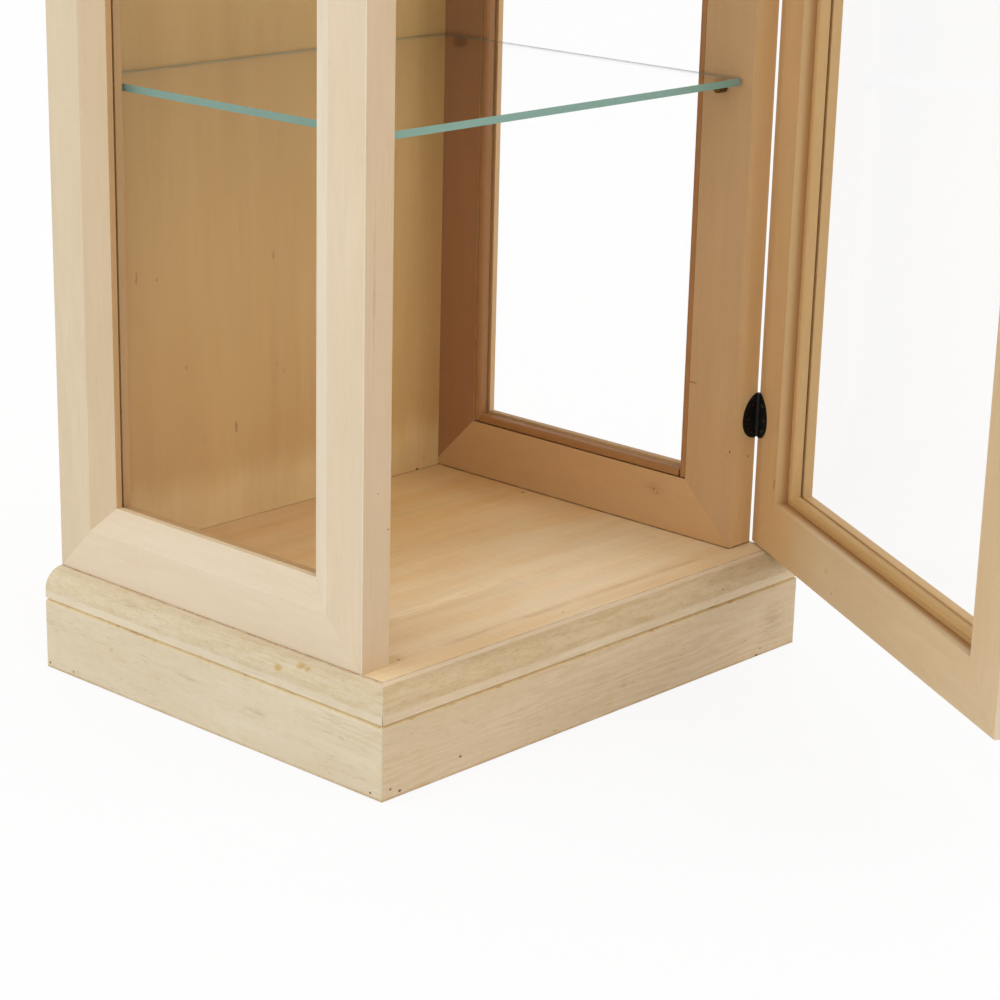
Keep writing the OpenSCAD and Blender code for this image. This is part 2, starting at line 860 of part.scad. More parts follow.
module magnetic_catch() {
    back_y = catch_front + catch_pole_out;
    color(inside_wood) catch_place() difference() {
        union() {
            translate([-catch_body[0] / 2, back_y, ceiling_z - catch_body[2]]) cube(catch_body);
            for (side = [-1, 1])
                translate([side * catch_hole_x - catch_ear[0] / 2 - join,
                    catch_hole_y - catch_ear[1] / 2, ceiling_z - catch_ear[2]])
                    cube([catch_ear[0] + 2 * join, catch_ear[1], catch_ear[2]]);
            for (side = [-1, 1])
                translate([-catch_body[0] / 2 + catch_pole_end, catch_front,
                    strike_z + side * catch_pole_pitch / 2 - catch_pole_t / 2])
                    cube([catch_body[0] - 2 * catch_pole_end, catch_pole_out + over, catch_pole_t]);
        }
        catch_holes();
    }
}

module catch_screws() {
    color(steel) catch_place() for (side = [-1, 1])
        translate([side * catch_hole_x, catch_hole_y, ceiling_z - catch_ear[2]])
            screw(catch_head_r, catch_head_h, catch_shank_r, catch_screw_len);
}

module strike_place() {
    translate([catch_x, door_in_y + strike_t, strike_z]) rotate([90, 0, 0]) children();
}

module strike_hole() { screw_hole(hinge_head_r, strike_t, hinge_shank_r, hinge_screw_len); }

module strike_plate() {
    color(steel) swung() strike_place() difference() {
        translate([-strike_size[0] / 2, -strike_size[1] / 2, 0])
            cube([strike_size[0], strike_size[1], strike_t]);
        strike_hole();
    }
}

module strike_screw() {
    color(steel) swung() strike_place()
        screw(hinge_head_r, strike_t, hinge_shank_r, hinge_screw_len);
}

plinth_front();
plinth_left();
plinth_right();
plinth_back_rail();
plinth_corner_blocks();
floor_cleats();
base_moulding_front();
base_moulding_left();
base_moulding_right();
floor_board();
left_front_stile();
left_back_stile();
left_bottom_rail();
left_top_rail();
left_glass();
left_upright_beads();
left_cross_beads();
right_front_stile();
right_back_stile();
right_bottom_rail();
right_top_rail();
right_glass();
right_upright_beads();
right_cross_beads();
back_panel();
back_panel_screws();
ceiling_board();
cornice_front();
cornice_left();
cornice_right();
fascia_front();
fascia_left();
fascia_right();
fascia_back_rail();
top_cover();
lower_frame_screws();
upper_frame_screws();
shelf_lower();
shelf_middle();
shelf_upper();
shelf_pins();
hinge_frame_leaves();
hinge_door_leaves();
hinge_pins();
hinge_frame_screws();
hinge_door_screws();
door_hinge_stile();
door_free_stile();
door_bottom_rail();
door_top_rail();
door_glass();
door_upright_beads();
door_cross_beads();
door_knob();
knob_screw();
magnetic_catch();
catch_screws();
strike_plate();
strike_screw();
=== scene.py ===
"""Looks of the tall glazed display cabinet: worked edges, wood, glass, iron and the studio round it."""

import json
import math
import random
import re

import bmesh
import bpy
from mathutils import Matrix, Vector
from mathutils.bvhtree import BVHTree


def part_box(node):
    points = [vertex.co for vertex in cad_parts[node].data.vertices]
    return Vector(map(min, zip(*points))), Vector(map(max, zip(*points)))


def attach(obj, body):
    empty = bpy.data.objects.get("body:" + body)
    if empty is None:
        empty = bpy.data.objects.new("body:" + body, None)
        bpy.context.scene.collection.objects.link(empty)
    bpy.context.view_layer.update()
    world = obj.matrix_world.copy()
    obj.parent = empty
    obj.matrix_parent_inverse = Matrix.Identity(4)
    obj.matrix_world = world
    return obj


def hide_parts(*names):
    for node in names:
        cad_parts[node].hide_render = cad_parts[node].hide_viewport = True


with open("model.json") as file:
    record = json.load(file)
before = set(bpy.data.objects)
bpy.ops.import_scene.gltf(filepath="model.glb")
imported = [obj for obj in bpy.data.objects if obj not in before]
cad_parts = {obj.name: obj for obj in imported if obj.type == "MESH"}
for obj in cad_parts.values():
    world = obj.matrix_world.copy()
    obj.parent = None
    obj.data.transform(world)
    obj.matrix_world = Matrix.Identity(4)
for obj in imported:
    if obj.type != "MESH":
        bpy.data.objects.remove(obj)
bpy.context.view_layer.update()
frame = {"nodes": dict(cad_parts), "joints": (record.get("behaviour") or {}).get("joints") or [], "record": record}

NODES = frame["nodes"]
BODY_OF = {node: body for body, nodes in frame["record"]["behaviour"]["bodies"].items() for node in nodes}
SLOT_OF = {part["node"]: part["material_slot"] for part in frame["record"]["subparts"]}

# Directions of the cabinet, and how far its door stands open at rest
X, Y, Z = Vector((1, 0, 0)), Vector((0, 1, 0)), Vector((0, 0, 1))
HINGE = frame["joints"][0]
HINGE_AT = Vector(HINGE["pos_m"])
DOOR_OPEN = math.radians(-HINGE["range_deg"][0])
DOOR_TURN = Matrix.Rotation(DOOR_OPEN, 3, "Z")

# Levels that the finishes follow, in metres, as all lengths below unless they say otherwise
GROOVE_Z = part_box("plinth_front")[1].z
CORNICE_GROOVE_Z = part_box("fascia_front")[0].z
FRAME_FACE_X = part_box("right_bottom_rail")[1].x
FLOOR_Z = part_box("floor_board")[1].z
DOOR_FACE = min((v.co - HINGE_AT).dot(DOOR_TURN @ -Y) for v in NODES["door_hinge_stile"].data.vertices)

WHITE = (1, 1, 1, 1)
AXES = range(3)


def linear(red, green, blue):
    """A colour given as it looks on a screen, 0 to 255, as the shaders take it."""
    def channel(value):
        value /= 255
        return value / 12.92 if value <= 0.04045 else ((value + 0.055) / 1.055) ** 2.4
    return channel(red), channel(green), channel(blue), 1.0


def show(thing):
    """Adds an object to the scene."""
    bpy.context.scene.collection.objects.link(thing)


class Tree:
    """Short calls that add nodes to a node tree."""

    def __init__(self, tree):
        self.tree = tree

    def set(self, socket, value):
        """Sets a socket to a number or a colour, or links an output to it."""
        if isinstance(value, bpy.types.NodeSocket):
            self.tree.links.new(value, socket)
        elif value is not None:
            socket.default_value = value

    def set_all(self, node, **inputs):
        for name, value in inputs.items():
            self.set(node.inputs[name.replace("_", " ")], value)

    def node(self, kind, **inputs):
        node = self.tree.nodes.new(kind)
        self.set_all(node, **inputs)
        return node

    def math(self, operation, a, b=None, c=None, clamp=False):
        node = self.tree.nodes.new("ShaderNodeMath")
        node.operation = operation
        node.use_clamp = clamp
        for socket, value in zip(node.inputs, (a, b, c)):
            self.set(socket, value)
        return node.outputs[0]

    def vector(self, operation, a, b=None, c=None):
        node = self.tree.nodes.new("ShaderNodeVectorMath")
        node.operation = operation
        for socket, value in zip(node.inputs, (a, b, c)):
            self.set(socket, value)
        return node.outputs["Value" if operation in ("DOT_PRODUCT", "DISTANCE") else "Vector"]

    def product(self, value, *others):
        for other in others:
            value = self.math("MULTIPLY", value, other)
        return value

    def apart(self, a, b):
        """How far two numbers are apart."""
        return self.math("ABSOLUTE", self.math("SUBTRACT", a, b))

    def along(self, spot, way):
        """How far a place lies along a direction."""
        return self.vector("DOT_PRODUCT", spot, tuple(way))

    def step(self, value, low, high, bottom=0.0, top=1.0):
        """Runs smoothly from bottom to top as the value goes from low to high."""
        node = self.tree.nodes.new("ShaderNodeMapRange")
        node.interpolation_type = "SMOOTHSTEP"
        for name, number in (("Value", value), ("From Min", low), ("From Max", high),
                             ("To Min", bottom), ("To Max", top)):
            self.set(node.inputs[name], number)
        return node.outputs[0]

    def wavering(self, value, noise, width):
        """A distance that noise shifts by up to half of a width."""
        return self.math("MULTIPLY_ADD", noise, width, self.math("SUBTRACT", value, width / 2))

    def mix(self, share, a, b):
        node = self.tree.nodes.new("ShaderNodeMix")
        node.data_type = "RGBA"
        sockets = {socket.identifier: socket for socket in (*node.inputs, *node.outputs)}
        self.set(sockets["Factor_Float"], share)
        self.set(sockets["A_Color"], a)
        self.set(sockets["B_Color"], b)
        return sockets["Result_Color"]

    def tinted(self, share, colour, tint):
        """A colour that is multiplied by a tint where the share is 1."""
        return self.mix(share, colour, self.vector("MULTIPLY", colour, tint))

    def noise(self, place, stretch, detail=2.0, roughness=0.5, distortion=0.0):
        """Noise with so many waves a metre along the grain, across it and into the wood."""
        scaled = self.vector("MULTIPLY", place, stretch)
        node = self.node("ShaderNodeTexNoise", Vector=scaled, Scale=1.0, Detail=detail,
                         Roughness=roughness, Distortion=distortion)
        return node.outputs["Fac"]

    def bump(self, height, distance):
        node = self.node("ShaderNodeBump", Height=height, Distance=distance, Strength=1.0)
        return node.outputs["Normal"]

    def named(self, name):
        """The value that each face of a mesh carries under a name."""
        node = self.tree.nodes.new("ShaderNodeAttribute")
        node.attribute_name = name
        return node.outputs["Fac"]

    def either(self, share, a, b):
        """One shader where the share is 0, another where it is 1."""
        node = self.tree.nodes.new("ShaderNodeMixShader")
        for socket, value in zip(node.inputs, (share, a, b)):
            self.set(socket, value)
        return node.outputs[0]

    def seen(self):
        """1 for what the camera, gloss and glass see, otherwise 0."""
        path = self.node("ShaderNodeLightPath")
        seen = self.math("ADD", path.outputs["Is Camera Ray"], path.outputs["Is Glossy Ray"])
        return self.math("ADD", seen, path.outputs["Is Transmission Ray"], clamp=True)


class Finish(Tree):
    """A new material and its main shader."""

    def __init__(self, name):
        self.material = bpy.data.materials.new(name)
        self.material.use_nodes = True
        super().__init__(self.material.node_tree)
        self.surface = self.tree.nodes["Principled BSDF"]
        self.output = self.tree.nodes["Material Output"].inputs["Surface"]

    def coat(self, **inputs):
        """Sets sockets of the main shader."""
        self.set_all(self.surface, **inputs)


# Camera, where the photograph was taken from
CAMERA_AT = (-1.5996, -1.3566, 0.8307)
CAMERA_TURN = (70.893, -1.345, -47.036)
CAMERA_LENS = 99.12
CAMERA_SENSOR = 36.0
CAMERA_RISE = 0.09
CAMERA_CLIP = (0.05, 60)


def make_camera():
    data = bpy.data.cameras.new("camera")
    data.sensor_width = CAMERA_SENSOR
    data.lens = CAMERA_LENS
    data.shift_y = CAMERA_RISE
    data.clip_start, data.clip_end = CAMERA_CLIP
    camera = bpy.data.objects.new("camera", data)
    camera.location = CAMERA_AT
    camera.rotation_euler = [math.radians(angle) for angle in CAMERA_TURN]
    show(camera)
    bpy.context.scene.camera = camera


make_camera()

# Kinds of wood: how much the clouds, strips, fibres and growth rings change the tone, how dark the
# pores are, how far patches turn warmer, how the surface shines, how many clouds and strips there are
# a metre, along the grain, across it and into the wood, and how much fine ticks across the grain show
WOODS = {
    "limed": dict(cloud=0.20, strip=0.16, fibre=0.16, rings=0.05, pores=0.55, warm=0.16, rough=0.62, bump=1.0,
                  clouds=(4, 17, 17), strips=(9, 85, 85), ticks=0.05),
    "frame": dict(cloud=0.16, strip=0.11, fibre=0.09, rings=0.02, pores=0.16, warm=0.20, rough=0.55, bump=0.5,
                  clouds=(4, 17, 17), strips=(9, 85, 85), ticks=0.04),
    "board": dict(cloud=0.26, strip=0.26, fibre=0.12, rings=0.0, pores=0.20, warm=0.75, rough=0.52, bump=0.5,
                  clouds=(3, 12, 12), strips=(5, 55, 55), ticks=0.16),
    "panel": dict(cloud=0.24, strip=0.20, fibre=0.12, rings=0.0, pores=0.30, warm=0.25, rough=0.56, bump=0.5,
                  clouds=(2.5, 16, 16), strips=(5, 70, 70), ticks=0.05),
}
WOOD_OF_SLOT = {"limed_wood": "limed", "frame_wood": "frame", "board_wood": "board", "panel_wood": "panel"}

# Noise in the wood: waves a metre along the grain, across it and into the wood, and then how fine,
# rough and twisted it is
FIBRES = ((40, 640, 640), 2.0, 0.6)
TICKS = ((230, 26, 26), 3.0, 0.7)
RINGS_WANDER = ((3, 22, 22), 3.0, 0.6)
RINGS_FADE = ((5, 12, 12), 2.0, 0.5)
PATCHES = ((7, 40, 40), 3.0, 0.55, 0.4)
PORES = ((95, 900, 900), 1.0)
PORE_GROUPS = ((14, 60, 60), 1.0)
STREAKS = ((45, 420, 420), 3.0, 0.6)
GRIME = ((120, 300, 300), 1.0)
BLOTCHES = ((60, 160, 160), 3.0, 0.65)
SPECKLES = ((260, 620, 620), 3.0, 0.7)
SCRATCHES = ((30, 300, 300), 4.0, 0.75, 0.6)
FLOOR_WAVERS = ((5, 30, 30), 3.0, 0.6)
FLOOR_PATCHES = ((14, 90, 90), 3.0, 0.6)
PANEL_WAVERS = ((22, 22, 6), 2.0)
STRIP_DETAIL = (3.0, 0.6)

# Ranges over which each thing comes up, of its noise, or for end grain of how far a face looks along
# the grain. Where there are four numbers, the last two say how much shows at the range's two ends
RINGS_SHOW = (0.42, 0.62)
PATCHES_SHOW = (0.42, 0.66)
PORES_SHOW = (0.63, 0.74)
PORE_GROUPS_SHOW = (0.42, 0.62, 0.25, 1.0)
END_GRAIN_SHOWS = (0.75, 0.95, 0.0, 0.45)
STREAKS_SHOW = (0.36, 0.64, 0.1, 1.0)
GRIME_SHOWS = (0.3, 0.6, 0.55, 1.0)

# Growth rings: their waves in a metre, how far they wander, and how far their heart lies from the
# piece's middle, sideways and in depth. RINGS_RADIAL leaves the direction of the grain out
RING_WAVES = 1700
RING_WANDER = 0.03
HEART_SIDEWAYS = 0.02
HEART_DEPTH = (0.04, 0.07)
RINGS_RADIAL = (0, 1, 1)

# Every piece is cut from a place of its own, up to this far away, and its tone lifts red less than blue
OWN_PLACE = 3
TONE_LIFT = (0.75, 1.0, 1.35)

# What warm patches, pores and end grain do to the colour's red, green and blue
WARM_TINT = (0.99, 0.90, 0.78)
PORE_TINT = (0.70, 0.60, 0.45)
END_GRAIN_TINT = (0.72, 0.62, 0.48)

# How much the fibres change the roughness, how deep pores are, and how much all wood reflects
FIBRE_ROUGHNESS = 0.16
PORE_DEPTH = 0.00012
WOOD_GLOSS = 0.30

# Colours of the pieces, by how their names begin, where the first that fits counts: outside, where the
# wood is limed, and inside, where it is bare
LIMED = (214, 195, 167)
TONES = (
    ("plinth_front|base_moulding_front|fascia_front|cornice_front", (203, 181, 149), (196, 166, 124)),
    ("plinth_|base_moulding_|fascia_|cornice_", (213, 199, 173), (196, 166, 124)),
    ("left_.*beads", LIMED, (196, 156, 108)),
    ("left_back_stile", (208, 190, 161), (200, 158, 108)),
    ("left_bottom_rail", (217, 200, 174), (200, 158, 108)),
    ("left_", LIMED, (200, 158, 108)),
    ("right_upright_beads", LIMED, (163, 115, 70)),
    ("right_cross_beads", LIMED, (158, 111, 64)),
    ("right_back_stile", LIMED, (160, 116, 78)),
    ("right_front_stile", LIMED, (188, 152, 109)),
    ("right_", LIMED, (197, 157, 109)),
    ("door_upright_beads", LIMED, (204, 165, 112)),
    ("door_cross_beads", LIMED, (196, 158, 104)),
    ("door_", LIMED, (212, 187, 149)),
    ("floor_board|ceiling_board", (232, 208, 169), (232, 208, 169)),
    ("", (205, 166, 106), (205, 166, 106)),
)

# Painted light and shade on some faces of a piece, a lighter or darker colour of their own after how
# light falls on them: a stile's front, the bevel, the walls round the glass and its seat
PAINTED_FACE_LIGHT = {
    "left_front_stile": {"front": (203, 178, 146), "bevel": (223, 210, 186)},
    "left_back_stile": {"bevel": (204, 182, 150), "seat": (230, 196, 150)},
    "left_bottom_rail": {"wall": (226, 202, 165)},
    "right_front_stile": {"front": (221, 186, 135)},
    "right_back_stile": {"wall": (214, 176, 128), "seat": (232, 176, 118)},
    "right_bottom_rail": {"wall": (178, 138, 92), "seat": (228, 184, 130)},
    "door_hinge_stile": {"seat": (242, 196, 136)},
    "door_bottom_rail": {"seat": (242, 196, 136)},
}

# The door's wood has painted shade at its hinges: it is browner there and passes into the paler tone
# over this range from them. Its walls have painted shade at their foot: they darken towards it over
# this range of depth under the inner face, and its lip starts at this depth
DOOR_HINGE_SHADE = (206, 170, 120)
DOOR_HINGE_SHADE_RANGE = (0.042, 0.162)
DOOR_WALL_SHADE = (172, 127, 77)
DOOR_WALL_SHADE_RANGE = (0.002, 0.0105)
DOOR_LIP_TONE = (204, 166, 114)
DOOR_LIP_FROM = 0.022

# The floor board has painted shade at the back: it is browner there, over this range from the front.
# It is also browner just behind its front edge, and one brown line runs along it there
FLOOR_WAVER_WIDTH = 0.08
FLOOR_BACK_SHADE = (222, 184, 128)
FLOOR_BACK_SHADE_RANGE = (0.050, 0.300)
FLOOR_FRONT_RANGE = (0.038, 0.030, 0.0, 0.35)
FLOOR_FRONT_TINT = (0.97, 0.92, 0.86)
FLOOR_LINE_TONE = (198, 148, 96)
FLOOR_LINE_Y = 0.034
FLOOR_LINE_REACH = (0.0060, 0.0002)
FLOOR_PATCHES_SHOW = (0.38, 0.62, 0.05, 0.45)

# The panel has painted light just above the floor board: it is paler over this range of heights
PANEL_WAVER_WIDTH = 0.04
PANEL_PAINTED_LIGHT_RANGE = (0.150, 0.112)
PANEL_PAINTED_LIGHT_TINT = (1.18, 1.34, 1.62)

# Dirt in the joints, and dirt with painted contact shade where the frames' members stand on the floor
# board, up to this height
JOINT_DARK = linear(70, 44, 22)
FOOT_DIRT_AND_SHADE = 0.75
FOOT_REACH = (0.0020, 0.0008)

# A moulding's curve shows rubbing and painted shade between these shares of upward slope: from nothing
# to full, and back. The rubbing is uneven, and on the front the moulding has painted light below and
# above it, paler there
RUBBED_FROM = (0.01, 0.07)
RUBBED_TO = (0.990, 0.940)
SPECKLES_RUB = (0.38, 0.62, 0.60, 1.0)
BLOTCHES_RUB = (0.35, 0.60, 0.60, 1.0)
WORN_AND_SHADED_FRONT_TINT = (0.88, 0.84, 0.71)
WORN_AND_SHADED_SIDE_TINT = (0.89, 0.85, 0.75)
BELOW_CURVE_PAINTED_LIGHT = (1.06, 1.09, 1.14)
ABOVE_CURVE_PAINTED_LIGHT = (1.20, 1.25, 1.32)

# At the side frames' foot the moulding has a dark line of dirt and painted contact shade, this far out
# from them, with a halo of the same
FOOT_LINE_OUT = 0.0006
LINE_OF_DIRT_AND_SHADE = (140, 86, 42)
FOOT_LINE_REACH = (0.0018, 0.0004)
FOOT_LINE_SHOWS = (0.46, 0.60, 0.05, 0.50)
HALO_OF_DIRT_AND_SHADE = (196, 160, 108)
FOOT_HALO_REACH = (0.0045, 0.0005)
FOOT_HALO_SHOWS = (0.35, 0.65, 0.1, 0.45)

# The V grooves are pale with spots of dirt, the base is dirty where it meets the ground, and base and
# top are blotched and scratched all over
GROOVE_REACH = (0.0019, 0.0014)
GROOVE_TINT = (1.12, 1.09, 0.94)
GROOVE_DIRT = linear(150, 104, 52)
GROOVE_DIRT_SHOWS = (0.54, 0.68, 0.0, 0.45)
GROUND_REACH = (0.0040, 0.0008)
GROUND_DIRT_SHOWS = (0.30, 0.60, 0.35, 0.95)
GROUND_TINT = (0.80, 0.68, 0.48)
BLOTCHES_SHOW = (0.48, 0.70, 0.0, 0.5)
BLOTCH_TINT = (0.94, 0.90, 0.79)
SCRATCHES_SHOW = (0.54, 0.66, 0.0, 0.4)
SCRATCH_TINT = (0.90, 0.86, 0.76)

# Colour of each kind of mark, its strength and how softly it ends
MARK_KINDS = {
    "nail": ((56, 34, 18), 0.85, 0.1),
    "stain": ((196, 158, 84), 0.35, 0.40),
    "drop": ((186, 146, 70), 0.70, 0.20),
    "knot": ((112, 72, 34), 0.55, 0.2),
    # Smudges are dirt, and on the right of the base's front they are painted shadow of the open door
    "smudge_and_shade": ((132, 100, 62), 0.30, 0.6),
    "pale": ((250, 232, 196), 0.60, 0.6),
}

# A mark ends between these shares of its size, less and more its softness. Marks softer than
# STREAKED are broken up by streaks, and marks longer than FRAYED millimetres have frayed edges
MARK_END = (1.0, 0.7)
STREAKED = 0.5
FRAYED = 5
FRAY_WAVES = 330.0
FRAY_WIDTH = Vector((0.008, 0.0030, 0.0))

# Marks on the pieces: kind, place in millimetres with the door closed, half sizes along the grain,
# across it and into the wood
MARKS = {
    "base_moulding_left": [
        ("drop", (-254, 107, 77), (5.0, 2.6, 5)), ("drop", (-251, 86, 84), (5.5, 3.4, 6)),
        ("drop", (-252, 78, 83), (3, 2.4, 6)), ("smudge_and_shade", (-252, 300, 82), (30, 4, 6))],
    "plinth_left": [
        ("nail", (-255, 387, 5), (1.2, 1.2, 3)), ("nail", (-255, 356, 5), (1, 1, 3)),
        ("nail", (-255, 3, 5), (1.2, 1.2, 3)), ("smudge_and_shade", (-255, 210, 40), (18, 2, 3)),
        ("smudge_and_shade", (-255, 130, 34), (12, 1.5, 3)), ("stain", (-255, 306, 38), (3, 2.4, 3))],
    "plinth_front": [
        ("smudge_and_shade", (-5, -9.5, 34), (9, 5, 3)), ("smudge_and_shade", (24, -9.5, 22), (5, 4, 3)),
        ("nail", (-170, -9.5, 14), (1.6, 1.2, 3)), ("nail", (-246, -9.5, 9), (1.4, 1.0, 3)),
        ("nail", (-236, -9.5, 5), (2.0, 1.2, 3)), ("nail", (206, -9.5, 7), (1.0, 1.0, 3)),
        # The large smudge at the far right is painted shadow of the open door
        ("nail", (201, -9.5, 2), (2.2, 1.0, 3)), ("smudge_and_shade", (222, -9.5, 30), (16, 16, 3))],
    "base_moulding_front": [
        ("nail", (76, -6, 85), (2.4, 0.8, 4)), ("knot", (150, -8, 74), (1.4, 1.0, 4)),
        # The two long smudges on the right are painted shadow of the open door
        ("smudge_and_shade", (150, -8, 83), (26, 5, 8)), ("smudge_and_shade", (205, -8, 82), (34, 6, 8))],
    "floor_board": [
        ("pale", (-70, 109, 87), (95, 7, 3)), ("nail", (-193, 36, 87), (1.6, 1.3, 3)),
        ("stain", (-198, 40, 87), (14, 8, 3)),
        ("nail", (200, 267, 87), (2.0, 1.5, 3)), ("knot", (-19, 22, 87), (1.4, 1.2, 3)),
        ("smudge_and_shade", (46, 72, 87), (3, 1.5, 3))],
    "right_bottom_rail": [
        ("smudge_and_shade", (207.5, 117, 124), (10, 7, 3)), ("knot", (207.5, 118, 122), (1.6, 1.2, 3)),
        ("knot", (207.5, 114, 120), (1.0, 1.0, 3))],
    "right_front_stile": [
        ("nail", (207.5, 36, 174), (1.2, 1.0, 3)), ("knot", (207.5, 38, 170), (0.8, 0.8, 3)),
        ("knot", (207.5, 80, 227), (1.0, 5, 3)), ("nail", (228, 31.5, 167), (1.2, 3, 0.8))],
    "left_front_stile": [
        ("nail", (-210.5, 31.5, 197), (0.8, 3, 0.8)), ("nail", (-221, 31.5, 227), (0.6, 3, 0.6)),
        ("smudge_and_shade", (-227, 31.5, 380), (60, 3, 1.2))],
    "back_panel": [
        ("knot", (-156, 383, 321), (6, 0.8, 3)), ("knot", (-134, 383, 316), (1.2, 1.2, 3)),
        ("knot", (-103, 383, 235), (2.2, 0.9, 3)), ("knot", (-47, 383, 172), (5.5, 1.3, 3)),
        ("knot", (2, 383, 221), (1.8, 0.9, 3)), ("knot", (10, 383, 213), (1.6, 0.9, 3)),
        ("knot", (-3, 383, 207), (1.2, 0.9, 3)), ("knot", (-83, 383, 167), (1.2, 1.0, 3)),
        ("stain", (4, 383, 170), (9, 4, 3)), ("knot", (-2, 383, 318), (4, 1.0, 3)),
        ("smudge_and_shade", (188, 383, 98), (3, 1.5, 3)), ("nail", (179, 383, 88), (1.4, 2.0, 3))],
    "door_hinge_stile": [
        ("knot", (194, 29.6, 152), (6, 1.8, 3)), ("smudge_and_shade", (195, 29.6, 190), (40, 1.6, 3))],
    "door_bottom_rail": [
        ("stain", (75, 29.6, 114), (4, 2.6, 3)), ("knot", (62, 29.6, 99), (1.2, 1.0, 3)),
        ("smudge_and_shade", (-22, 29.6, 120), (4, 1.6, 3))],
}


def wood_of(node):
    """The kind of wood that a piece is made of, or None."""
    return WOOD_OF_SLOT.get(SLOT_OF[node])


def tones_of(node):
    """Outside and inside colour of a piece."""
    return next((outside, inside) for pattern, outside, inside in TONES if re.match(pattern, node))


def grain_of(node):
    """Directions of a piece: along its grain, across its broad face and through it, out of the cabinet."""
    upright = "stile" in node or "upright" in node
    if node.startswith("door_"):
        return [DOOR_TURN @ way for way in ((Z, X, -Y) if upright else (X, Z, -Y))]
    if re.match("(left|right)_", node):
        out = -X if node.startswith("left") else X
        return [Z, Y, out] if upright else [Y, Z, out]
    if node.endswith(("_left", "_right")):
        return [Y, Z, -X if node.endswith("_left") else X]
    if node in ("back_panel", "plinth_corner_blocks"):
        return [Z, X, Y]
    if node in ("floor_board", "ceiling_board", "top_cover"):
        return [X, Y, Z]
    return [X, Z, -Y]


def door_tone_and_shade(s, spot, colour):
    """The door's bare wood with painted shade: browner at the hinges, and dark at the foot of the walls round the
    glass.
    """
    from_hinge = s.vector("SUBTRACT", spot, tuple(HINGE_AT))
    sideways = s.along(from_hinge, DOOR_TURN @ -X)
    depth = s.math("SUBTRACT", s.along(from_hinge, DOOR_TURN @ -Y), DOOR_FACE)
    # Painted shade: browner near the hinges
    colour = s.mix(s.step(sideways, *DOOR_HINGE_SHADE_RANGE), linear(*DOOR_HINGE_SHADE), colour)
    # Painted shade: darker towards the foot of the walls round the glass
    foot = s.mix(s.step(depth, *DOOR_WALL_SHADE_RANGE), colour, linear(*DOOR_WALL_SHADE))
    wall = s.mix(s.math("GREATER_THAN", depth, DOOR_LIP_FROM), foot, linear(*DOOR_LIP_TONE))
    return s.mix(s.named("wall"), colour, wall)


def floor_tone_and_shade(s, spot, colour):
    """The floor board's wood: painted shade that makes it browner at the back, browner at the front edge, and a
    line along the front.
    """
    back = s.along(spot, Y)
    wavering = s.wavering(back, s.noise(spot, *FLOOR_WAVERS), FLOOR_WAVER_WIDTH)
    # Painted shade: browner towards the back
    colour = s.mix(s.step(wavering, *FLOOR_BACK_SHADE_RANGE), colour, linear(*FLOOR_BACK_SHADE))
    patchy = s.step(s.noise(spot, *FLOOR_PATCHES), *FLOOR_PATCHES_SHOW)
    line = s.product(s.step(s.apart(back, FLOOR_LINE_Y), *FLOOR_LINE_REACH), patchy)
    colour = s.mix(line, colour, linear(*FLOOR_LINE_TONE))
    return s.tinted(s.step(wavering, *FLOOR_FRONT_RANGE), colour, FLOOR_FRONT_TINT)


def panel_tone_and_light(s, spot, colour):
    """The back panel's wood, with painted light that makes it paler low down on its inner face."""
    wavering = s.wavering(s.along(spot, Z), s.noise(spot, *PANEL_WAVERS), PANEL_WAVER_WIDTH)
    # Painted light: paler low down on the inner face
    painted_light = s.product(s.step(wavering, *PANEL_PAINTED_LIGHT_RANGE), s.named("inner"))
    return s.mix(painted_light, colour, s.vector("MULTIPLY", colour[:3], PANEL_PAINTED_LIGHT_TINT))


def inner_tone(s, node, inside, spot):
    """The colour of a piece's bare wood, which passes from one tone to another on some pieces, with painted light
    and shade on the door, the floor board and the panel.
    """
    colour = linear(*inside)
    if node.startswith("door_") and "beads" not in node:
        return door_tone_and_shade(s, spot, colour)
    if node == "floor_board":
        return floor_tone_and_shade(s, spot, colour)
    if node == "back_panel":
        return panel_tone_and_light(s, spot, colour)
    return colour


def rubbing_and_painted_light(s, in_front, upward, blotch, speckle, colour):
    """A moulding's curve, with rubbing and painted shade where it stands out, and with painted light below and
    above it on the front.
    """
    curve = s.product(s.step(upward, *RUBBED_FROM), s.step(upward, *RUBBED_TO))
    # Rubbing and painted shade on the curve
    worn_and_shaded = s.product(curve, s.step(speckle, *SPECKLES_RUB), s.step(blotch, *BLOTCHES_RUB))
    colour = s.tinted(worn_and_shaded, colour, WORN_AND_SHADED_FRONT_TINT if in_front else WORN_AND_SHADED_SIDE_TINT)
    if in_front:
        # Painted light: paler below and above the curve on the front
        for slope, tint in ((RUBBED_FROM, BELOW_CURVE_PAINTED_LIGHT), (RUBBED_TO, ABOVE_CURVE_PAINTED_LIGHT)):
            paler = s.vector("MULTIPLY", colour, tint)
            colour = s.mix(s.step(upward, *slope), paler, colour)
    return colour


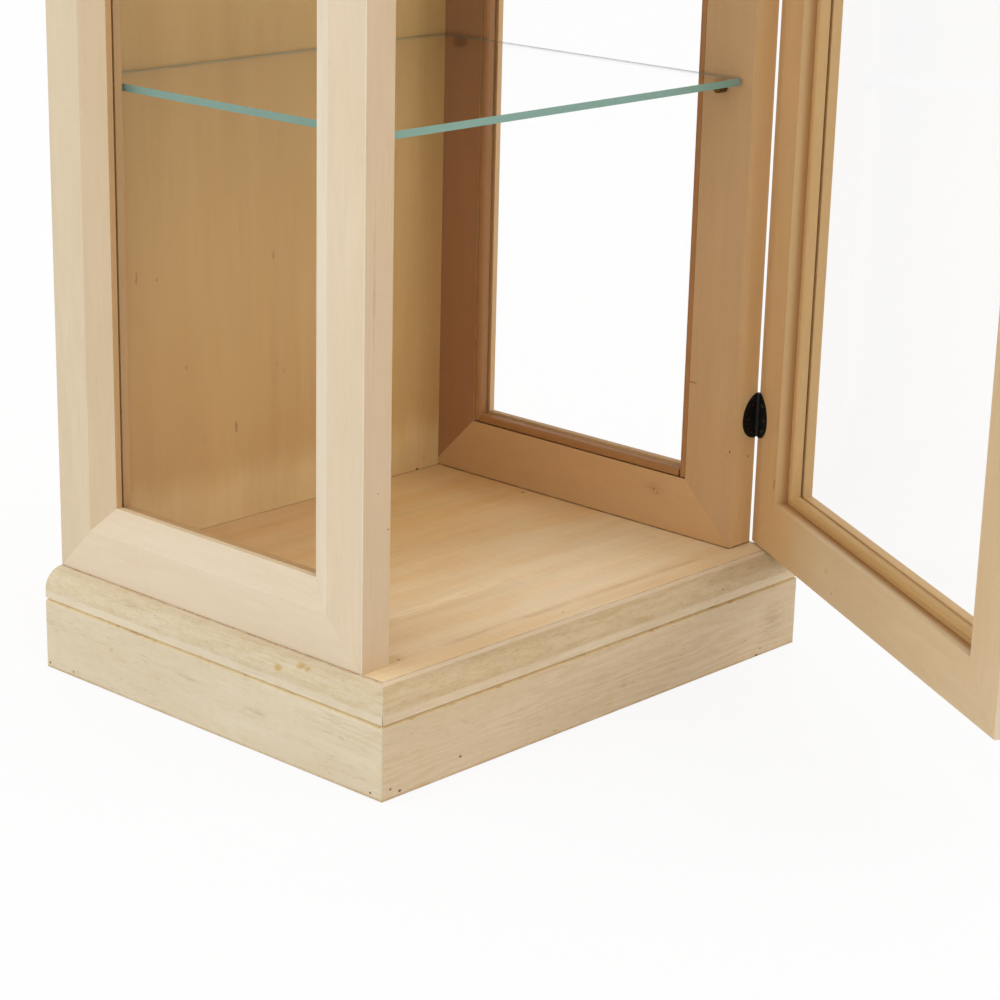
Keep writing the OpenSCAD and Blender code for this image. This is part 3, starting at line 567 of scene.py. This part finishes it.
def dirt_and_painted_light(s, node, own, spot, normal, colour):
    """The base and top: a curve with rubbing and painted light and shade, dirt in the groove, dirt and painted
    contact shade at the frames' foot, and dirt at the ground.
    """
    upward = s.math("ABSOLUTE", s.along(normal, Z))
    height = s.along(spot, Z)
    blotch = s.noise(own, *BLOTCHES)
    speckle = s.noise(own, *SPECKLES)
    if "moulding" in node or "cornice" in node:
        colour = rubbing_and_painted_light(s, node.endswith("_front"), upward, blotch, speckle, colour)
    if node in ("base_moulding_left", "base_moulding_right"):
        sideways = s.math("ABSOLUTE", s.along(spot, X))
        from_frame = s.apart(sideways, FRAME_FACE_X + FOOT_LINE_OUT)
        # Dirt and painted contact shade: a dark line along the frames' foot, with a halo
        halo = s.product(s.step(from_frame, *FOOT_HALO_REACH), s.step(blotch, *FOOT_HALO_SHOWS))
        line = s.product(s.step(from_frame, *FOOT_LINE_REACH), s.step(speckle, *FOOT_LINE_SHOWS))
        colour = s.mix(halo, colour, linear(*HALO_OF_DIRT_AND_SHADE))
        colour = s.mix(line, colour, linear(*LINE_OF_DIRT_AND_SHADE))
    for level in (GROOVE_Z, CORNICE_GROOVE_Z):
        groove = s.step(s.apart(height, level), *GROOVE_REACH)
        colour = s.tinted(groove, colour, GROOVE_TINT)
        spots = s.product(groove, s.step(blotch, *GROOVE_DIRT_SHOWS))
        colour = s.mix(spots, colour, GROOVE_DIRT)
    at_ground = s.product(s.step(height, *GROUND_REACH), s.step(blotch, *GROUND_DIRT_SHOWS))
    colour = s.tinted(at_ground, colour, GROUND_TINT)
    colour = s.tinted(s.step(blotch, *BLOTCHES_SHOW), colour, BLOTCH_TINT)
    return s.tinted(s.step(s.noise(own, *SCRATCHES), *SCRATCHES_SHOW), colour, SCRATCH_TINT)


def toned(s, kind, draw, own, place, fibre):
    """How much lighter or darker than its colour the wood is, from place to place."""
    cloud = s.noise(own, kind["clouds"])
    strip = s.noise(own, kind["strips"], *STRIP_DETAIL)
    spread = kind["cloud"] + kind["strip"] + kind["fibre"]
    tone = s.math("MULTIPLY_ADD", cloud, kind["cloud"], -0.5 * spread)
    tone = s.math("MULTIPLY_ADD", strip, kind["strip"], tone)
    tone = s.math("MULTIPLY_ADD", fibre, kind["fibre"], tone)
    ticks = s.noise(own, *TICKS)
    tone = s.math("MULTIPLY_ADD", s.math("SUBTRACT", ticks, 0.5), kind["ticks"], tone)
    if kind["rings"]:
        sideways = draw.uniform(-HEART_SIDEWAYS, HEART_SIDEWAYS)
        heart = (0, sideways, draw.choice((-1, 1)) * draw.uniform(*HEART_DEPTH))
        radius = s.vector("DISTANCE", s.vector("MULTIPLY", place, RINGS_RADIAL), heart)
        wander = s.math("MULTIPLY_ADD", s.noise(own, *RINGS_WANDER), RING_WANDER, radius)
        rings = s.math("SINE", s.math("MULTIPLY", wander, RING_WAVES))
        faint = s.step(s.noise(own, *RINGS_FADE), *RINGS_SHOW, 0.0, kind["rings"])
        tone = s.math("MULTIPLY_ADD", rings, faint, tone)
    return tone


def marked(s, node, own, place, axes, middle, colour):
    """The marks that one piece carries."""
    rest = s.node("ShaderNodeTexNoise", Vector=own, Scale=FRAY_WAVES, Detail=3.0)
    ragged = s.vector("MULTIPLY_ADD", rest.outputs["Color"], tuple(FRAY_WIDTH), place)
    ragged = s.vector("SUBTRACT", ragged, tuple(FRAY_WIDTH / 2))
    streaks = s.step(s.noise(own, *STREAKS), *STREAKS_SHOW)
    for name, at, half in MARKS[node]:
        at = Vector(at) / 1000
        if node.startswith("door_"):
            at = HINGE_AT + DOOR_TURN @ (at - HINGE_AT)
        spread = Vector([1000 / size for size in half])
        heart = (axes @ (at - middle)) * spread
        edge = ragged if half[0] > FRAYED else place
        away = s.vector("DISTANCE", s.vector("MULTIPLY", edge, tuple(spread)), tuple(heart))
        shade, strength, soft = MARK_KINDS[name]
        share = s.step(away, MARK_END[0] + soft, MARK_END[1] - soft, 0.0, strength)
        if soft > STREAKED:
            share = s.product(share, streaks)
        colour = s.mix(share, colour, linear(*shade))
    return colour


def wood(node, seed):
    """The finish of one wooden piece: clouds, strips, fibres, pores, marks, dirt in its joints, and painted light
    and shade.
    """
    kind = WOODS[wood_of(node)]
    outside, inside = tones_of(node)
    along, across = grain_of(node)[:2]
    draw = random.Random(seed)
    s = Finish("wood_" + node)

    # Places in the piece, along its grain, across it and into it
    low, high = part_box(node)
    middle = (low + high) / 2
    axes = Matrix((along, across, along.cross(across)))
    coordinates = s.node("ShaderNodeTexCoord")
    spot, normal = coordinates.outputs["Object"], coordinates.outputs["Normal"]
    centred = s.vector("SUBTRACT", spot, tuple(middle))
    place = s.node("ShaderNodeMapping", Vector=centred, Rotation=axes.to_euler("XYZ")).outputs[0]
    own = s.vector("ADD", place, tuple(draw.uniform(-OWN_PLACE, OWN_PLACE) for _ in AXES))

    fibre = s.noise(own, *FIBRES)
    tone = toned(s, kind, draw, own, place, fibre)
    base = s.mix(s.named("bare"), linear(*outside), inner_tone(s, node, inside, spot))
    # Painted light and shade: some faces take a lighter or darker colour of their own
    for name, painted_face_tone in PAINTED_FACE_LIGHT.get(node, {}).items():
        base = s.mix(s.named(name), base, linear(*painted_face_tone))
    colour = s.vector("MULTIPLY", base, s.vector("MULTIPLY_ADD", tone, TONE_LIFT, (1, 1, 1)))

    # Patches that are warmer, pores, which are short dark dashes, and the grain's darker ends
    patches = s.step(s.noise(own, *PATCHES), *PATCHES_SHOW, 0.0, kind["warm"])
    colour = s.tinted(patches, colour, WARM_TINT)
    dashes = s.step(s.noise(own, *PORES), *PORES_SHOW)
    groups = s.step(s.noise(own, *PORE_GROUPS), *PORE_GROUPS_SHOW)
    pores = s.product(dashes, groups, kind["pores"])
    colour = s.tinted(pores, colour, PORE_TINT)
    facing = s.math("ABSOLUTE", s.along(normal, along))
    colour = s.tinted(s.step(facing, *END_GRAIN_SHOWS), colour, END_GRAIN_TINT)

    if wood_of(node) == "limed":
        colour = dirt_and_painted_light(s, node, own, spot, normal, colour)
    if node in MARKS:
        colour = marked(s, node, own, place, axes, middle, colour)

    patchy_dirt_and_shade = s.step(s.noise(own, *GRIME), *GRIME_SHOWS)
    # Dirt and painted contact shade where the frames' members stand on the floor board
    if re.match("(left|right)_.*(stile|rail)", node):
        above_floor = s.math("SUBTRACT", s.along(spot, Z), FLOOR_Z)
        foot = s.product(s.step(above_floor, *FOOT_REACH), s.named("bare"), patchy_dirt_and_shade, FOOT_DIRT_AND_SHADE)
        colour = s.mix(foot, colour, JOINT_DARK)
    colour = s.mix(s.product(s.named("joint"), patchy_dirt_and_shade), colour, JOINT_DARK)

    s.coat(
        Base_Color=colour,
        Roughness=s.math("MULTIPLY_ADD", fibre, FIBRE_ROUGHNESS, kind["rough"] - FIBRE_ROUGHNESS / 2),
        Normal=s.bump(s.math("SUBTRACT", fibre, pores), PORE_DEPTH * kind["bump"]),
        Specular_IOR_Level=WOOD_GLOSS,
    )
    return s.material


# Edges of the wooden pieces: how far joints and mitres are open, and how much dirt is in them
JOINT_CHAMFER = {"limed": 0.0003, "frame": 0.0005, "board": 0.0005, "panel": 0.0004}
MITRE_CHAMFER = 0.0004
JOINT_DIRT = 0.85
LEFT_JOINT_DIRT = 0.40
MITRE_DIRT = 0.55
DOOR_MITRE_DIRT = 0.10

# Corners this close are made one and faces this level are made one. Edges are worked if they are
# sharper than SHARP and longer than SHORTEST_EDGE
WELD = 0.000005
LEVEL = math.radians(0.8)
SHARP = math.radians(32)
SHORTEST_EDGE = 0.004

# An edge is in a joint if another piece is met within CONTACT of its face at PROBES_MET of these shares
# of its length, seen from PROBE_IN beside the edge and PROBE_BACK under the face. Only pieces whose
# boxes lie within BOX_REACH are looked at
PROBES = (0.2, 0.5, 0.8)
PROBES_MET = 2
CONTACT = 0.0007
PROBE_IN = 0.0015
PROBE_BACK = 0.0001
BOX_REACH = 0.002

# How far a face looks out of the cabinet, from -1 to 1, and how far a straight edge follows the grain
FACES_IN = -0.5
FLAT_IN = -0.9
SLOPES_OUT = 0.3
FLAT_OUT = 0.985
STRAIGHT = 0.98

# A seat of the glass lies at least this deep under the inner face
SEAT_DEPTH = 0.004

# A face that is broader than this, or has more corners, is a flat one and isn't shaded smoothly
FLAT_WIDTH = 0.004
MOST_CORNERS = 6
SMOOTH_BELOW = math.radians(18)

trees = {}


def tree_of(node):
    """A search tree over one node's faces, made once."""
    if node not in trees:
        mesh = NODES[node].data
        trees[node] = BVHTree.FromPolygons([v.co for v in mesh.vertices], [p.vertices for p in mesh.polygons])
    return trees[node]


def near_nodes(node):
    """Search trees of the other nodes of the same body whose boxes touch this node's box."""
    low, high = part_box(node)
    found = []
    for other in NODES:
        if other == node or BODY_OF[other] != BODY_OF[node]:
            continue
        a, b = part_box(other)
        if all(a[i] - BOX_REACH < high[i] and low[i] - BOX_REACH < b[i] for i in AXES):
            found.append(tree_of(other))
    return found


def touches(point, normal, neighbours):
    """True if another piece lies against the face at this point."""
    start = point - normal * PROBE_BACK
    return any(tree.ray_cast(start, normal, CONTACT + PROBE_BACK)[0] is not None for tree in neighbours)


def in_joint(edge, neighbours):
    """True if one of the two faces at an edge lies against another piece along most of the edge."""
    a, b = (v.co for v in edge.verts)
    hits = 0
    for share in PROBES:
        point = a.lerp(b, share)
        for face in edge.link_faces:
            inward = face.normal.cross(b - a).normalized()
            if (face.calc_center_median() - point).dot(inward) < 0:
                inward.negate()
            if touches(point + inward * PROBE_IN, face.normal, neighbours):
                hits += 1
                break
    return hits >= PROBES_MET


def is_mitre(edge, node):
    """True if an edge belongs to a mitre: slantwise in a frame, across the grain in the base and top."""
    way = (edge.verts[1].co - edge.verts[0].co).normalized()
    straight = grain_of(node)[:1] if wood_of(node) == "limed" else grain_of(node)
    return max(abs(way.dot(axis)) for axis in straight) < STRAIGHT


def faces_opening(face, opening):
    """True if a face looks towards the middle of its frame."""
    return face.normal.dot(opening - face.calc_center_median()) > 0


def bare_at(node, face, opening):
    """1 where a face is bare inside wood, 0 where it is limed."""
    if wood_of(node) != "frame":
        return float(wood_of(node) != "limed")
    outward = face.normal.dot(grain_of(node)[2])
    if "beads" in node or outward < FACES_IN:
        return 1.0
    if outward > SLOPES_OUT:
        return 0.0
    # The right front stile's faces across the frame all take the bare tone, which paints the open door's shade on
    # its front
    return float(faces_opening(face, opening) or node == "right_front_stile")


def kind_of_face(node, face, opening):
    """Front, bevel, wall or seat of the glass for some of a frame's faces, or None."""
    if wood_of(node) != "frame" or "beads" in node:
        return None
    out = grain_of(node)[2]
    outward = face.normal.dot(out)
    if outward < FLAT_IN:
        inner_face = min(v.co.dot(out) for v in NODES[node].data.vertices)
        return "seat" if face.calc_center_median().dot(out) > inner_face + SEAT_DEPTH else None
    if abs(outward) > SLOPES_OUT:
        return "bevel" if SLOPES_OUT < outward < FLAT_OUT else None
    if "front_stile" in node and face.normal.y < FLAT_IN:
        return "front"
    return "wall" if faces_opening(face, opening) else None


def box_of(points):
    """Least and greatest corner of the box round some points."""
    return (Vector([min(point[i] for point in points) for i in AXES]),
            Vector([max(point[i] for point in points) for i in AXES]))


def opening_of(node):
    """Middle of the frame that a piece belongs to."""
    family = re.match("(left|right|door)?", node).group(0)
    if not family:
        return Vector((0, 0, 0))
    members = [other for other in NODES if re.match(family + "_.*(stile|rail)", other)]
    low, high = box_of([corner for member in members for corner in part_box(member)])
    return (low + high) / 2


def worked(node):
    """A copy of a wooden node whose sharp edges in joints are broken and marked as such."""
    bm = bmesh.new()
    bm.from_mesh(NODES[node].data)
    bmesh.ops.remove_doubles(bm, verts=bm.verts, dist=WELD)
    bmesh.ops.dissolve_limit(bm, angle_limit=LEVEL, verts=bm.verts, edges=bm.edges)
    bm.normal_update()
    opening = opening_of(node)
    bare, joint, inner = (bm.faces.layers.float.new(name) for name in ("bare", "joint", "inner"))
    kinds = {kind: bm.faces.layers.float.new(kind) for kind in ("front", "bevel", "wall", "seat")}
    for face in bm.faces:
        face[bare] = bare_at(node, face, opening)
        face[inner] = float(face.normal.dot(grain_of(node)[2]) < FACES_IN)
        kind = kind_of_face(node, face, opening)
        if kind:
            face[kinds[kind]] = 1.0
    neighbours = near_nodes(node)
    joints = [edge for edge in bm.edges
              if len(edge.link_faces) == 2 and edge.calc_face_angle(0) > SHARP
              and edge.calc_length() > SHORTEST_EDGE and in_joint(edge, neighbours)]
    mitre_dirt = DOOR_MITRE_DIRT if node.startswith("door_") else MITRE_DIRT
    joint_dirt = LEFT_JOINT_DIRT if node == "left_bottom_rail" else JOINT_DIRT
    open_joint = JOINT_CHAMFER[wood_of(node)]
    for mitres, offset, dirt in ((True, MITRE_CHAMFER, mitre_dirt), (False, open_joint, joint_dirt)):
        chosen = [edge for edge in joints if edge.is_valid and is_mitre(edge, node) == mitres]
        made = bmesh.ops.bevel(bm, geom=chosen, offset=offset, offset_type="OFFSET", segments=1,
                               profile=0.5, affect="EDGES", clamp_overlap=True)
        for face in made["faces"]:
            face[joint] = dirt
    mesh = bpy.data.meshes.new(node + "_worked")
    bm.to_mesh(mesh)
    bm.free()
    mesh.set_sharp_from_angle(angle=SMOOTH_BELOW)
    for polygon in mesh.polygons:
        ends = [[mesh.vertices[i].co for i in key] for key in polygon.edge_keys]
        broad = polygon.area / max((a - b).length for a, b in ends) > FLAT_WIDTH
        polygon.use_smooth = not broad and len(polygon.vertices) <= MOST_CORNERS
    return mesh


def place_piece(name, mesh, node, material):
    """Puts a mesh in place of a CAD node, on its body and with its slot."""
    piece = bpy.data.objects.new(name, mesh)
    show(piece)
    piece.data.materials.clear()
    piece.data.materials.append(material)
    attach(piece, BODY_OF[node])
    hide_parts(node)
    return piece


for number, node in enumerate(sorted(NODES)):
    if wood_of(node):
        place_piece(node + "_worked", worked(node), node, wood(node, number))

# How strongly the panes and the shelves bend light, and how rough a shelf's green edge is
PANE_BEND = 1.12
SHELF_BEND = 1.45
EDGE_ROUGHNESS = 0.25

# Panes and shelves keep this clear of the wood that they meet
GLASS_CLEAR = 0.00008

# Metal and plastic are mottled: waves in a metre, their range, how dark the mottles are, what they do
# to the roughness, how deep they are, and how much the surface reflects
MOTTLES = ((900, 900, 900), 3.0, 0.6)
MOTTLES_SHOW = (0.35, 0.75)
MOTTLE_SHADE = 0.6
MOTTLE_ROUGHNESS = 0.3
MOTTLE_DEPTH = 0.00003
METAL_GLOSS = 0.35


def clear_glass(name, bend):
    """Clear glass, which sheds no shadow."""
    s = Finish(name)
    s.coat(Base_Color=WHITE, Roughness=0.0, IOR=bend, Transmission_Weight=1.0)
    in_shadow = s.node("ShaderNodeLightPath").outputs["Is Shadow Ray"]
    through = s.node("ShaderNodeBsdfTransparent").outputs[0]
    s.set(s.output, s.either(in_shadow, s.surface.outputs[0], through))
    return s.material


def ground_glass(name, colour):
    """The green edge of a glass shelf."""
    s = Finish(name)
    s.coat(Base_Color=linear(*colour), Roughness=EDGE_ROUGHNESS, IOR=SHELF_BEND)
    return s.material


def mottled(name, colour, rough, metal):
    """Metal, or plastic or paint where metal is 0."""
    s = Finish(name)
    mottle = s.noise(s.node("ShaderNodeTexCoord").outputs["Object"], *MOTTLES)
    shade = linear(*[value * MOTTLE_SHADE for value in colour])
    s.coat(
        Base_Color=s.mix(s.step(mottle, *MOTTLES_SHOW), linear(*colour), shade),
        Roughness=s.math("MULTIPLY_ADD", mottle, MOTTLE_ROUGHNESS, rough - MOTTLE_ROUGHNESS / 2),
        Metallic=metal,
        Specular_IOR_Level=METAL_GLOSS,
        Normal=s.bump(mottle, MOTTLE_DEPTH),
    )
    return s.material


def thinned(node):
    """A copy of a pane or shelf whose broad faces lie just inside the wood that they meet."""
    mesh = NODES[node].data.copy()
    on_door = node == "door_glass"
    points = [DOOR_TURN.inverted() @ (v.co - HINGE_AT) if on_door else v.co.copy() for v in mesh.vertices]
    low, high = box_of(points)
    sizes = high - low
    thin = min(AXES, key=lambda i: sizes[i])
    for vert, point in zip(mesh.vertices, points):
        point[thin] -= math.copysign(GLASS_CLEAR, point[thin] - (low[thin] + high[thin]) / 2)
        vert.co = HINGE_AT + DOOR_TURN @ point if on_door else point
    return mesh


FINISHES = {
    "clear_glass": clear_glass("clear_glass", PANE_BEND),
    "black_iron": mottled("black_iron", (19, 18, 15), 0.60, 0.0),
    "brass": mottled("brass", (124, 100, 56), 0.36, 1.0),
    "steel": mottled("steel", (176, 178, 178), 0.35, 1.0),
    "catch_plastic": mottled("catch_plastic", (206, 196, 172), 0.5, 0.0),
}
SHELF_GLASS = clear_glass("shelf_glass", SHELF_BEND)
SHELF_EDGE = ground_glass("shelf_edge", (122, 156, 142))
for node, thing in NODES.items():
    if SLOT_OF[node] == "clear_glass":
        pane = place_piece(node + "_thinned", thinned(node), node, FINISHES["clear_glass"])
        if "shelf" in node:
            pane.data.materials[0] = SHELF_GLASS
            pane.data.materials.append(SHELF_EDGE)
            for polygon in pane.data.polygons:
                polygon.material_index = int(abs(polygon.normal.z) < 0.5)
    elif not wood_of(node):
        thing.data.materials.clear()
        thing.data.materials.append(FINISHES[SLOT_OF[node]])

# Screws, and which way their heads face
SCREWS = {
    "back_panel_screws": Y,
    "hinge_frame_screws": -Y,
    "hinge_door_screws": DOOR_TURN @ Y,
    "catch_screws": -Z,
    "strike_screw": DOOR_TURN @ Y,
    "knob_screw": DOOR_TURN @ Y,
}

# The cross cut into each head, as shares of the head's radius, and how much it narrows to its bottom
CROSS_REACH = 0.62
CROSS_HALF_WIDTH = 0.13
CROSS_DEPTH = 0.30
CROSS_NARROWS = 0.7

# The cutter rises this far above the head, the rim's corners lie this level, and edges sharper than
# this stay sharp
CUTTER_RISE = 0.0002
RIM_FLAT = 0.00002
HEAD_SHARP = math.radians(25)


def welded(node):
    """A copy of a node's mesh whose faces share their corners."""
    bm = bmesh.new()
    bm.from_mesh(NODES[node].data)
    bmesh.ops.remove_doubles(bm, verts=bm.verts, dist=WELD)
    mesh = bpy.data.meshes.new(node + "_welded")
    bm.to_mesh(mesh)
    bm.free()
    return mesh


def heads_of(mesh, facing):
    """Middle and radius of every screw head in a mesh."""
    bm = bmesh.new()
    bm.from_mesh(mesh)
    left = set(bm.verts)
    found = []
    while left:
        part = [left.pop()]
        for vert in part:
            for edge in vert.link_edges:
                other = edge.other_vert(vert)
                if other in left:
                    left.discard(other)
                    part.append(other)
        top = max(vert.co.dot(facing) for vert in part)
        rim = [vert.co.copy() for vert in part if vert.co.dot(facing) > top - RIM_FLAT]
        low, high = box_of(rim)
        middle = (low + high) / 2
        found.append((middle, max((point - middle).length for point in rim)))
    bm.free()
    return sorted(found, key=lambda head: tuple(round(value, 5) for value in head[0]))


def crosses(node, heads, facing, draw):
    """One cutter for all heads of a node: a cross over each, turned by chance."""
    sideways = facing.orthogonal().normalized()
    upwards = facing.cross(sideways)
    points, faces = [], []
    for middle, radius in heads:
        turn = draw.uniform(0, math.pi / 2)
        a, b = CROSS_HALF_WIDTH * radius, CROSS_REACH * radius
        outline = [(a, a), (a, b), (-a, b), (-a, a), (-b, a), (-b, -a),
                   (-a, -a), (-a, -b), (a, -b), (a, -a), (b, -a), (b, a)]
        first, count = len(points), len(outline)
        for level, share in ((CUTTER_RISE, 1.0), (-CROSS_DEPTH * radius, CROSS_NARROWS)):
            for u, v in outline:
                u, v = u * share, v * share
                across = sideways * (u * math.cos(turn) - v * math.sin(turn))
                along = upwards * (u * math.sin(turn) + v * math.cos(turn))
                points.append(middle + across + along + facing * level)
        faces.append([first + i for i in range(count)])
        faces.append([first + 2 * count - 1 - i for i in range(count)])
        for i in range(count):
            j = (i + 1) % count
            faces.append([first + i, first + count + i, first + count + j, first + j])
    mesh = bpy.data.meshes.new(node + "_crosses")
    mesh.from_pydata(points, [], faces)
    bm = bmesh.new()
    bm.from_mesh(mesh)
    bmesh.ops.recalc_face_normals(bm, faces=bm.faces)
    bm.to_mesh(mesh)
    bm.free()
    return mesh


def crossed(node, facing, seed):
    """A copy of a node of screws with a cross recess in every head."""
    blank_mesh = welded(node)
    cutter_mesh = crosses(node, heads_of(blank_mesh, facing), facing, random.Random(seed))
    cutter = bpy.data.objects.new(node + "_crosses", cutter_mesh)
    blank = bpy.data.objects.new(node + "_blank", blank_mesh)
    for thing in (cutter, blank):
        show(thing)
    cut = blank.modifiers.new("cross", "BOOLEAN")
    cut.operation = "DIFFERENCE"
    cut.solver = "EXACT"
    cut.object = cutter
    view = bpy.context.evaluated_depsgraph_get()
    mesh = bpy.data.meshes.new_from_object(blank.evaluated_get(view))
    for thing in (cutter, blank):
        bpy.data.objects.remove(thing)
    mesh.set_sharp_from_angle(angle=HEAD_SHARP)
    return mesh


for number, (node, facing) in enumerate(sorted(SCREWS.items())):
    place_piece(node + "_crossed", crossed(node, facing, number), node, FINISHES[SLOT_OF[node]])

# Studio: a floor that reaches this far, its colour and how white it is where it is seen, and how
# bright the world is
GROUND_REACHES = 14.0
GROUND_COLOUR = (0.86, 0.86, 0.86, 1)
GROUND_ROUGHNESS = 0.9
GROUND_GLOSS = 0.1
GROUND_WHITE = 0.86
WORLD_STRENGTH = 1.07

# Lamps: place, the point that they face, width and height, and watts
LAMPS = {
    "left_lamp": ((-3.0, 1.3, 1.8), (0, 0.2, 0.5), (1.6, 2.4), 8),
    "left_high_lamp": ((-2.0, 0.4, 3.4), (0, 0.2, 0.3), (1.6, 1.6), 7),
    "right_front_lamp": ((2.2, -2.2, 2.2), (0, 0.2, 0.2), (1.6, 1.6), 12),
    "steep_lamp": ((-0.4, -1.2, 3.6), (0, 0.1, 0.2), (1.4, 1.4), 4.5),
}


def make_ground():
    mesh = bpy.data.meshes.new("floor")
    corners = [(GROUND_REACHES * x, GROUND_REACHES * y, 0) for x, y in ((-1, -1), (1, -1), (1, 1), (-1, 1))]
    mesh.from_pydata(corners, [], [(0, 1, 2, 3)])
    floor = bpy.data.objects.new("studio_floor", mesh)
    show(floor)
    s = Finish("studio_floor")
    s.coat(Base_Color=GROUND_COLOUR, Roughness=GROUND_ROUGHNESS, Specular_IOR_Level=GROUND_GLOSS)
    white = s.node("ShaderNodeEmission", Color=WHITE, Strength=1.0).outputs[0]
    s.set(s.output, s.either(s.product(s.seen(), GROUND_WHITE), s.surface.outputs[0], white))
    mesh.materials.append(s.material)


def make_world():
    world = bpy.data.worlds.new("world")
    bpy.context.scene.world = world
    world.use_nodes = True
    s = Tree(world.node_tree)
    back = s.tree.nodes["Background"]
    s.set_all(back, Color=WHITE, Strength=WORLD_STRENGTH)
    white = s.node("ShaderNodeBackground", Color=WHITE, Strength=1.0).outputs[0]
    s.set(s.tree.nodes["World Output"].inputs["Surface"], s.either(s.seen(), back.outputs[0], white))


def make_lamp(name, at, aim, size, watts):
    data = bpy.data.lights.new(name, "AREA")
    data.shape = "RECTANGLE"
    data.size, data.size_y = size
    data.energy = watts
    lamp = bpy.data.objects.new(name, data)
    lamp.location = at
    lamp.rotation_euler = (Vector(aim) - Vector(at)).to_track_quat("-Z", "Y").to_euler()
    show(lamp)


make_ground()
make_world()
for name, lamp in LAMPS.items():
    make_lamp(name, *lamp)
bpy.context.scene.view_settings.view_transform = "Standard"
